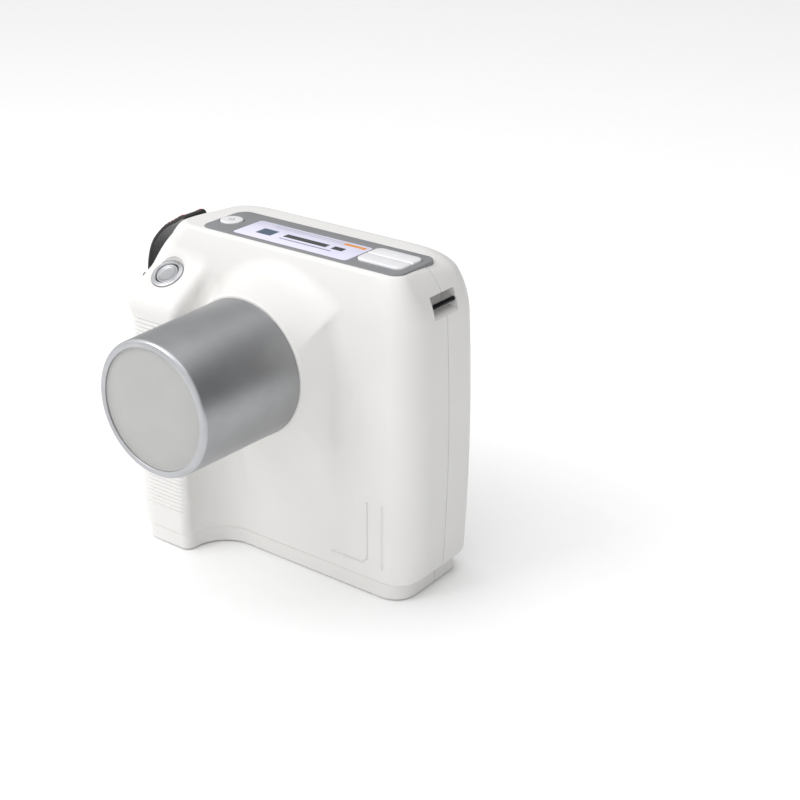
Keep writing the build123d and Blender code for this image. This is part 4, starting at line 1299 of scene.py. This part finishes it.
# ---------------------------------------------------------------- top panel
@dataclass
class TopPanel:
    """Inlaid panel with its label and keys."""

    housing: Housing
    low: float = 176.05
    high: float = 178.2
    keys: tuple[float, float, float, float] = (39.7, 68.3, 30.05, 50.55)
    keys_r: float = 4.2
    label: tuple[float, float, float, float] = (-37.3, 37.7, 25.4, 49.0)
    label_r: float = 2.1
    label_fit: float = 0.05
    power: tuple[float, float] = (-50.0, 39.4)
    power_r: float = 6.25
    slip: float = 0.3

    def build(self) -> None:
        """Make the panel, the label and the three keys."""
        self.plate()
        self.film()
        self.power_key()
        middle = (self.keys[2] + self.keys[3]) / 2
        self.rocker("raise_key", "up_key", "up_rocker", middle + 0.18, self.keys[3], 1)
        self.rocker("lower_key", "down_key", "down_rocker", self.keys[2], middle - 0.18, -1)

    def plate(self) -> None:
        """Panel with openings for the keys and a pocket for the label."""
        plate = slab("panel", self.housing.outline(-0.05), soft_levels(self.low, self.high, 0.2, 0.45))
        x0, x1, y0, y1 = self.keys
        slip = self.slip
        opening = outlined(x0 - slip, x1 + slip, y0 - slip, y1 + slip, self.keys_r + slip)
        a0, a1, b0, b1 = self.label
        fit = self.label_fit
        pocket = outlined(a0 - fit, a1 + fit, b0 - fit, b1 + fit, self.label_r + 0.1)
        r = self.power_r + slip
        high = self.high
        tools = [
            slab("keys_hole", opening, [(170, 0), (high - 0.3, 0), (high, -0.25), (high + 0.4, -0.6)]),
            slab("label_hole", pocket, [(high - 0.4, 0), (high + 1, 0)]),
            lathe("power_hole", [(r, -8), (r, -0.3), (r + 0.25, 0), (r + 0.6, 0.4)],
                  Placing((*self.power, high))),
        ]
        dress(smooth(carve(plate, tools), 30), GREY_ABS, nodes=["top_panel"])

    def film(self) -> None:
        """Printed label."""
        x0, x1, y0, y1 = self.label
        film = slab("label", outlined(x0, x1, y0, y1, self.label_r),
                    soft_levels(self.high - 0.38, self.high + 0.02, 0.02, 0.1, 2))
        dress(smooth(film), LABEL_FILM, nodes=["top_label"])

    def power_key(self) -> None:
        """Round key with a ring and a stroke printed on it."""
        r = self.power_r
        placing = Placing((*self.power, self.high))
        profile = [(2.0, -8.2), (2.0, -3.2), (r, -3.0)] + arc(r - 0.7, -0.1, 0.7, 0, 80, 5) + \
            [(4.6, 0.68), (2.5, 0.62), (0.4, 0.58)]
        key = lathe("power_key", profile, placing)
        dress(smooth(key), KEY_ABS, "power_key", ["power_button"])
        band = arc(0, 0, 1.75, 130, 410, 30) + arc(0, 0, 1.35, 410, 130, 30)
        ring = loft("ring_mark", [placing.put(np.array([(x, y, h) for x, y in band])) for h in (0.5, 0.72)])
        stroke = slab("stroke_mark", outlined(-0.2, 0.2, 0.6, 2.2, 0.15), [(0.5, 0.0), (0.72, 0.0)], placing)
        dress(smooth(joined("power_mark", [ring, stroke])), KEY_PRINT, "power_key")

    def rocker(self, name: str, node: str, body: str, y0: float, y1: float, way: int) -> None:
        """One of the two keys that share an opening.

        Args:
            name: Name of the piece.
            node: The frame's node that it stands for.
            body: The body that it rides on.
            y0: Low Y.
            y1: High Y.
            way: 1 for the key at the back, -1 for the one in front.
        """
        x0, x1 = self.keys[:2]
        big, small = self.keys_r, 0.5
        radii = [small, small, big, big] if way > 0 else [big, big, small, small]
        top = self.high + 1.2
        levels = [(self.low - 1.0, 0.0), *soft_levels(self.low, top - 0.15, 0.01, 1.0)[5:],
                  (top - 0.06, 2.2), (top, 4.2)]
        key = slab(name, outlined(x0, x1, y0, y1, radii), levels)
        middle = (y0 + y1) / 2
        centre = (x0 + x1) / 2
        stem = bar("stem", (centre, middle, self.low - 6.0), (centre, middle, self.low - 0.9), 2.0)
        dress(smooth(joined(name, [key, stem]), 30), KEY_ABS, body, [node])
        cx = centre + 0.8
        half, tall = 2.6, 1.5 * way
        tips = [(cx - half, middle - tall * 0.7), (cx + half, middle - tall * 0.7), (cx, middle + tall)]
        tips = tips if way > 0 else tips[::-1]
        rings = []
        for height, share in ((top - 0.35, 1.0), (top + 0.02, 0.94), (top + 0.12, 0.75)):
            rings.append(np.array([(cx + (x - cx) * share, middle + (y - middle) * share, height)
                                   for x, y in tips]))
        dress(smooth(loft(f"{name}_mark", rings), 20), KEY_ABS, body)


# ---------------------------------------------------------------- trigger
@dataclass
class Trigger:
    """Exposure trigger: turned bezel and dished button."""

    placing: Placing
    ring_r: float = 9.1
    button_r: float = 6.2

    def build(self) -> None:
        """Make the bezel and the button."""
        r = self.ring_r
        bezel = [(6.5, -3.1), (r, -3.1), (r, 0.1)] + arc(r - 0.5, 0.1, 0.5, 0, 70, 4) + \
            [(8.1, 0.72), (7.9, 0.9)] + arc(7.35, 0.75, 0.45, 55, 125, 4) + [(6.75, 0.6), (6.5, 0.3)]
        ring = lathe("trigger_bezel", bezel, self.placing, hollow=True, around=128)
        dress(smooth(ring, 40), TURNED_ALUMINIUM, nodes=["trigger_ring"])
        b = self.button_r
        button = [(2.4, -14.4), (2.4, -4.6), (7.6, -4.6), (7.6, -3.4), (b, -3.4), (b, 0.0)]
        button += arc(b - 0.55, 0.05, 0.55, 0, 90, 5) + [(5.2, 0.5), (4.7, 0.2), (4.3, 0.0), (3.9, -0.08)]
        button += [(2.5, -0.12), (0.3, -0.14)]
        cap = lathe("trigger_cap", button, self.placing, around=128)
        dress(smooth(cap, 40), BLASTED_ALUMINIUM, "trigger", ["trigger_button"])


# ---------------------------------------------------------------- wrist strap
@dataclass
class WristStrap:
    """Leather tab on the left lug, D-ring, clamp and hanging wrist cord."""

    pin: tuple[float, float] = (-81.8, 159.7)
    middle_y: float = 46.0
    width: float = 17.0
    thick: float = 1.8
    wrap_r: float = 2.35
    bar_z: float = 131.9
    bar_x: float = -115.8
    ring: tuple[float, float] = (24.5, 11.0)
    wire_r: float = 1.1
    clamp: tuple[float, float, float] = (7.4, 12.0, 13.0)
    cord_d: float = 5.0
    cord_length: float = 214.3
    mouth_z: float = 109.0

    def middle_line(self) -> Array:
        """Middle line of the tab: round the pin, up over a fold, out and down, and round the ring's bar.

        Returns:
            N by 3 array of points.
        """
        px, pz = self.pin
        start = arc(px, pz, self.wrap_r, 105, -180, 30)
        end = arc(self.bar_x, self.bar_z, self.wrap_r - 0.15, 0, -285, 30)
        knots = [start[-1], (px - 2.3, pz + 5.0), (px - 1.2, pz + 11.0), (px - 3.2, pz + 13.6),
                 (px - 9.5, pz + 9.9), (px - 18.0, pz + 4.5), (px - 26.6, pz - 5.0), (px - 30.8, pz - 16.5),
                 end[0]]
        line = start[:-1]
        padded = np.array([knots[0], *knots, knots[-1]])
        for a, b, c, d in zip(padded, padded[1:], padded[2:], padded[3:]):
            for t in np.linspace(0, 1, 10, endpoint=False):
                bend = (2 * a - 5 * b + 4 * c - d) * t ** 2 + (3 * b - a - 3 * c + d) * t ** 3
                line.append(tuple(0.5 * (2 * b + (c - a) * t + bend)))
        line += end
        return np.array([(x, self.middle_y, z) for x, z in line])

    def tab(self) -> bpy.types.Object:
        """Leather tab with its eyelet and stitching.

        Returns:
            The leather piece.
        """
        line = self.middle_line()
        half, thin = self.width / 2, self.thick / 2
        section = rounded_outline(-half, half, -thin, thin, [0.6] * 4, steps=4)
        leather = dress(smooth(sweep("leather_tab", line, section), 50), GRAINED_LEATHER,
                        nodes=["strap_tab"])
        lengths = np.concatenate([[0], np.cumsum(np.linalg.norm(np.diff(line, axis=0), axis=1))])

        def on_line(share: float, off: float, along_y: float) -> tuple[Array, Array]:
            """Point and outward direction on the tab, at a distance along it.

            Args:
                share: Distance along the tab.
                off: Height above its outer face.
                along_y: Offset across the tab.

            Returns:
                The point and the unit direction.
            """
            point = np.array([np.interp(share, lengths, line[:, n]) for n in range(3)])
            ahead = np.array([np.interp(share + 0.4, lengths, line[:, n]) for n in range(3)])
            way = (ahead - point) / np.linalg.norm(ahead - point)
            out = np.cross(way, (0.0, 1.0, 0.0))
            out = out if out[2] - 0.4 * out[0] > 0 else -out
            return point + out * (thin + off) + np.array([0, along_y, 0]), out

        eyelet, out = on_line(40.0, 0.0, 0.0)
        side = np.array([0.0, 1.0, 0.0])
        rim = lathe("strap_eyelet", [(1.5, -0.2)] + arc(2.6, 0.1, 0.7, 180, 0, 6) + [(3.5, -0.2)],
                    Placing(tuple(eyelet), tuple(side), tuple(out)), hollow=True, around=48)
        dress(smooth(rim, 50), DRAWN_STEEL)
        stitches = []
        for row in (-half + 1.7, half - 1.7):
            for share in np.arange(26.0, 66.0, 3.2):
                a, out_a = on_line(share, 0.12, row)
                b, _ = on_line(share + 2.1, 0.12, row)
                stitches.append(bar("stitch", a, b, 0.38, 0.15, around=10))
        dress(smooth(joined("strap_stitching", stitches), 50), RED_THREAD)
        return leather

    def build(self) -> None:
        """Make the tab, the ring, the clamp and the cord."""
        tab = self.tab()
        flat = rounded_outline(-self.ring[0] / 2, self.ring[0] / 2, -self.ring[1], 0, [3.0] * 4, steps=10)
        path = np.array([(self.bar_x, self.middle_y + u, self.bar_z + v) for u, v in flat])
        wire = np.array(arc(0, 0, self.wire_r, 0, 360, 20)[:-1])
        ring = sweep("strap_d_ring", path, wire, closed=True, side=(1.0, 0.0, 0.0))
        dress(smooth(ring, 60), DRAWN_STEEL, nodes=["strap_ring"])
        cx, cy, cz = self.clamp
        low = self.mouth_z
        plan = outlined(self.bar_x - cx / 2, self.bar_x + cx / 2, self.middle_y - cy / 2,
                        self.middle_y + cy / 2, 2.5)
        block = slab("cord_block", plan, soft_levels(low, low + cz, 0.8, 1.4))
        eye_z = self.bar_z - self.ring[1]
        ends = [(self.bar_x, self.middle_y + off, eye_z) for off in (-12, 12)]
        tools = [bar("eye", *ends, 1.3)]
        for z in (low + 3.2, low + 5.4):
            line = np.array([(x, y, z) for x, y in plan(0.0)])
            tools.append(sweep("rim_groove", line, np.array(arc(0, 0, 0.45, 0, 360, 8)[:-1]), closed=True,
                               side=(0.0, 0.0, 1.0)))
        block = dress(smooth(carve(block, tools), 40), DARK_NYLON, nodes=["cord_clamp"])
        self.cord([tab, ring, block])

    def cord(self, pieces: Sequence[bpy.types.Object]) -> None:
        """Round braided cord that hangs in one loop from the clamp.

        Args:
            pieces: Pieces that go with the cord; not used.
        """
        route = [(0.0, -3.0, 0.0), (0.0, -3.0, -20.0), (3.0, -10.5, -40.0), (7.0, -18.0, -59.0),
                 (9.0, -18.0, -78.0), (7.0, -4.5, -93.0), (3.5, 14.5, -92.0), (0.5, 23.0, -75.0),
                 (-1.5, 17.0, -54.0), (-1.5, 7.5, -37.0), (0.0, 3.0, -19.0), (0.0, 3.0, 0.0)]
        curve = bpy.data.curves.new("cord_loop", "CURVE")
        curve.dimensions = "3D"
        curve.resolution_u = 24
        curve.bevel_depth = self.cord_d / 2 * MM
        curve.bevel_resolution = 6
        curve.use_fill_caps = True
        spline = curve.splines.new("NURBS")
        spline.points.add(len(route) - 1)
        for point, (dx, dy, dz) in zip(spline.points, route):
            place = (self.bar_x + dx, self.middle_y + dy, self.mouth_z + dz)
            point.co = (*(v * MM for v in place), 1.0)
        spline.order_u = 3
        spline.use_endpoint_u = True
        cord = bpy.data.objects.new("wrist_loop", curve)
        bpy.context.scene.collection.objects.link(cord)
        dress(cord, BRAIDED_CORD, nodes=["wrist_cord"])


# ---------------------------------------------------------------- small fittings
@dataclass
class Fittings:
    """Lug pins, display window, screws, charging socket and foot pads."""

    housing: Housing

    def build(self) -> None:
        """Make every fitting."""
        home = self.housing
        for side, node in ((-1, "left_strap_pin"), (1, "right_strap_pin")):
            x = side * home.pin_x
            ends = [(x, home.lug_y[0] - 2, home.pin_z), (x, home.lug_y[1] + 2, home.pin_z)]
            pin = bar(f"{node}_bar", *ends, 1.25, 0.2)
            dress(smooth(pin, 50), BLACK_NICKEL, nodes=[node])
        x0, x1, z0, z1 = home.display
        glass = slab("display_glass", outlined(x0, x1, -z1, -z0, 2.9), soft_levels(-1.45, -0.02, 0.1, 0.35),
                     facing_back(home.form.rear))
        dress(smooth(glass), DISPLAY_ACRYLIC, nodes=["display_window"])
        self.screws()
        self.socket()
        pads = [lathe("pad", [(5.6, 1.5), (5.95, 1.3), (5.95, 0.5)] + arc(5.5, 0.45, 0.45, 0, -90, 4)
                      + [(4.6, 0.0), (4.4, 0.25), (0.4, 0.25)], Placing((x, y, 0.0))) for x, y in home.pads]
        dress(smooth(joined("rubber_feet", pads), 40), NITRILE, nodes=["foot_pads"])

    def screws(self) -> None:
        """Six case screws with cross recesses."""
        seat = self.housing.form.rear - 4.5
        made = []
        for x, z in self.housing.screws:
            placing = facing_back(seat, x, z)
            head = lathe("screw", [(1.5, -24.0), (1.5, 0.0), (2.8, 0.0), (2.8, 1.2)]
                         + arc(2.0, 1.2, 0.8, 0, 90, 4) + [(0.4, 2.02)], placing, around=40)
            cross = [brick("slot", (x - 1.6, seat + 1.0, z - 0.35), (x + 1.6, seat + 3, z + 0.35)),
                     brick("slot", (x - 0.35, seat + 1.0, z - 1.6), (x + 0.35, seat + 3, z + 1.6))]
            made.append(carve(head, cross))
        dress(smooth(joined("shell_screws", made), 35), ZINC_STEEL, nodes=["case_screws"])

    def socket(self) -> None:
        """Charging socket with its centre pin."""
        y, z = self.housing.socket
        placing = Placing((0.0, y, z), (0.0, 1.0, 0.0), (-1.0, 0.0, 0.0))
        barrel = lathe("barrel", [(2.75, 75.5), (3.9, 75.5), (3.9, 84.6)] + arc(3.6, 84.6, 0.3, 0, 90, 3)
                       + arc(3.05, 84.6, 0.3, 90, 180, 3), placing, hollow=True, around=64)
        floor = lathe("floor", [(3.8, 74.0), (3.8, 76.0)], placing)
        contact = bar("contact", (-75.0, y, z), (-83.2, y, z), 0.9, 0.4, around=24)
        dress(smooth(joined("charge_jack", [barrel, floor, contact]), 40), DARK_NYLON,
              nodes=["charge_socket"])


INNER_NODES: dict[Finish, tuple[str, ...]] = {
    ROLLED_LEAD: ("cone_liner", "collimator"),
    MILLED_ALUMINIUM: ("cone_retainer", "trigger_bracket", "chassis_plate", "beam_filter"),
    CAST_ALUMINIUM: ("tube_tank", "tank_cover"),
    SOLDER_MASK: ("top_board", "main_board"),
    DARK_NYLON: ("top_switches", "trigger_switch", "board_chips", "display_module", "buzzer", "battery_case"),
    DRAWN_STEEL: ("trigger_spring",),
    ZINC_STEEL: ("tank_screws", "board_screws", "cathode_cup"),
    TUBE_GLASS: ("tube_glass",),
    COPPER: ("anode", "transformer_coil"),
    FERRITE: ("hv_transformer",),
    EPOXY: ("hv_multiplier",),
    CELL_WRAP: ("battery_cells",),
}


def dress_inside(nodes: dict[str, bpy.types.Object]) -> None:
    """Give the frame's own pieces inside the housing their finishes.

    Args:
        nodes: The frame's nodes by name.
    """
    for finish, names in INNER_NODES.items():
        for name in names:
            nodes[name].data.materials.clear()
            nodes[name].data.materials.append(finish.build())
            log.info("%s keeps its own shape, %s", name, finish.name)


# ---------------------------------------------------------------- studio
@dataclass
class Studio:
    """Pale floor, soft light and the camera."""

    camera_at: tuple[float, float, float] = (488.523, -537.447, 429.635)
    azimuth: float = 36.493
    elevation: float = 24.378
    roll: float = 0.456
    lens: float = 69.443
    sky_low: float = 0.22
    sky_high: float = 1.16
    key_way: tuple[float, float, float] = (-0.45, -0.70, 0.55)
    floor_half: float = 12.0

    def camera(self) -> None:
        """Place the camera."""
        a, e, r = (math.radians(v) for v in (self.azimuth, self.elevation, self.roll))
        back = Vector((math.sin(a) * math.cos(e), -math.cos(a) * math.cos(e), math.sin(e)))
        right = (-back).cross(Vector((0, 0, 1))).normalized()
        up = right.cross(-back)
        across = math.cos(r) * right + math.sin(r) * up
        upward = -math.sin(r) * right + math.cos(r) * up
        data = bpy.data.cameras.new("view")
        data.lens = self.lens
        data.sensor_width = 36.0
        data.clip_start = 0.01
        camera = bpy.data.objects.new("view", data)
        turned = Matrix((across, upward, back)).transposed().to_4x4()
        camera.matrix_world = Matrix.Translation(Vector(self.camera_at) * MM) @ turned
        bpy.context.scene.collection.objects.link(camera)
        bpy.context.scene.camera = camera

    def sky(self) -> None:
        """Even light from the front left and above, dimmer from the right and behind."""
        world = bpy.data.worlds.new("studio")
        bpy.context.scene.world = world
        world.use_nodes = True
        tree = world.node_tree
        tree.nodes.clear()
        way = add_node(tree, "ShaderNodeTexCoord").outputs["Generated"]
        facing = add_node(tree, "ShaderNodeVectorMath", {"operation": "DOT_PRODUCT", 1: self.key_way}, {0: way})
        level = add_node(tree, "ShaderNodeMapRange",
                         {"interpolation_type": "SMOOTHSTEP", "From Min": -0.5, "From Max": 0.75,
                          "To Min": self.sky_low, "To Max": self.sky_high}, {"Value": facing.outputs["Value"]})
        glow = add_node(tree, "ShaderNodeBackground", {"Color": linear("#FFFFFF")},
                        {"Strength": level.outputs["Result"]})
        add_node(tree, "ShaderNodeOutputWorld", {}, {"Surface": glow.outputs["Background"]})

    def lamp(self, name: str, place: Sequence[float], power: float, size: float) -> None:
        """Soft square lamp aimed at the unit.

        Args:
            name: Name of the lamp.
            place: Position in metres.
            power: Power in watts.
            size: Side in metres.
        """
        data = bpy.data.lights.new(name, "AREA")
        data.energy = power
        data.size = size
        lamp = bpy.data.objects.new(name, data)
        lamp.location = place
        lamp.rotation_mode = "QUATERNION"
        lamp.rotation_quaternion = (Vector((0, 0, 0.09)) - Vector(place)).to_track_quat("-Z", "Y")
        bpy.context.scene.collection.objects.link(lamp)

    def floor(self) -> None:
        """Seamless paper floor."""
        half = self.floor_half / MM
        lines = np.linspace(-half, half, 9)
        points = np.array([(x, y, 0.0) for y in lines for x in lines])
        faces = [(r * 9 + c, r * 9 + c + 1, r * 9 + c + 10, r * 9 + c + 9) for r in range(8) for c in range(8)]
        floor = make_mesh("paper_floor", points, faces)
        floor.data.materials.append(FLOOR_PAPER.build())

    def build(self) -> None:
        """Set up the whole studio."""
        self.camera()
        self.sky()
        self.floor()
        self.lamp("key", (-0.55, -0.75, 1.15), 6.0, 0.8)
        self.lamp("overhead", (0.1, 0.2, 1.5), 4.4, 1.4)
        bpy.context.scene.view_settings.view_transform = "Standard"


def main() -> None:
    """Build every part of the unit in order."""
    logging.basicConfig(level=logging.INFO, format="%(name)s %(message)s")
    for old in list(bpy.data.objects):
        bpy.data.objects.remove(old)
    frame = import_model()
    Studio().build()
    WristStrap().build()
    housing = Housing(HousingForm())
    housing.build()
    BeamCone().build()
    TopPanel(housing).build()
    Trigger(housing.trigger_placing()).build()
    Fittings(housing).build()
    dress_inside(frame["nodes"])
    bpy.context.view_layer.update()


if __name__ == "__main__":
    main()
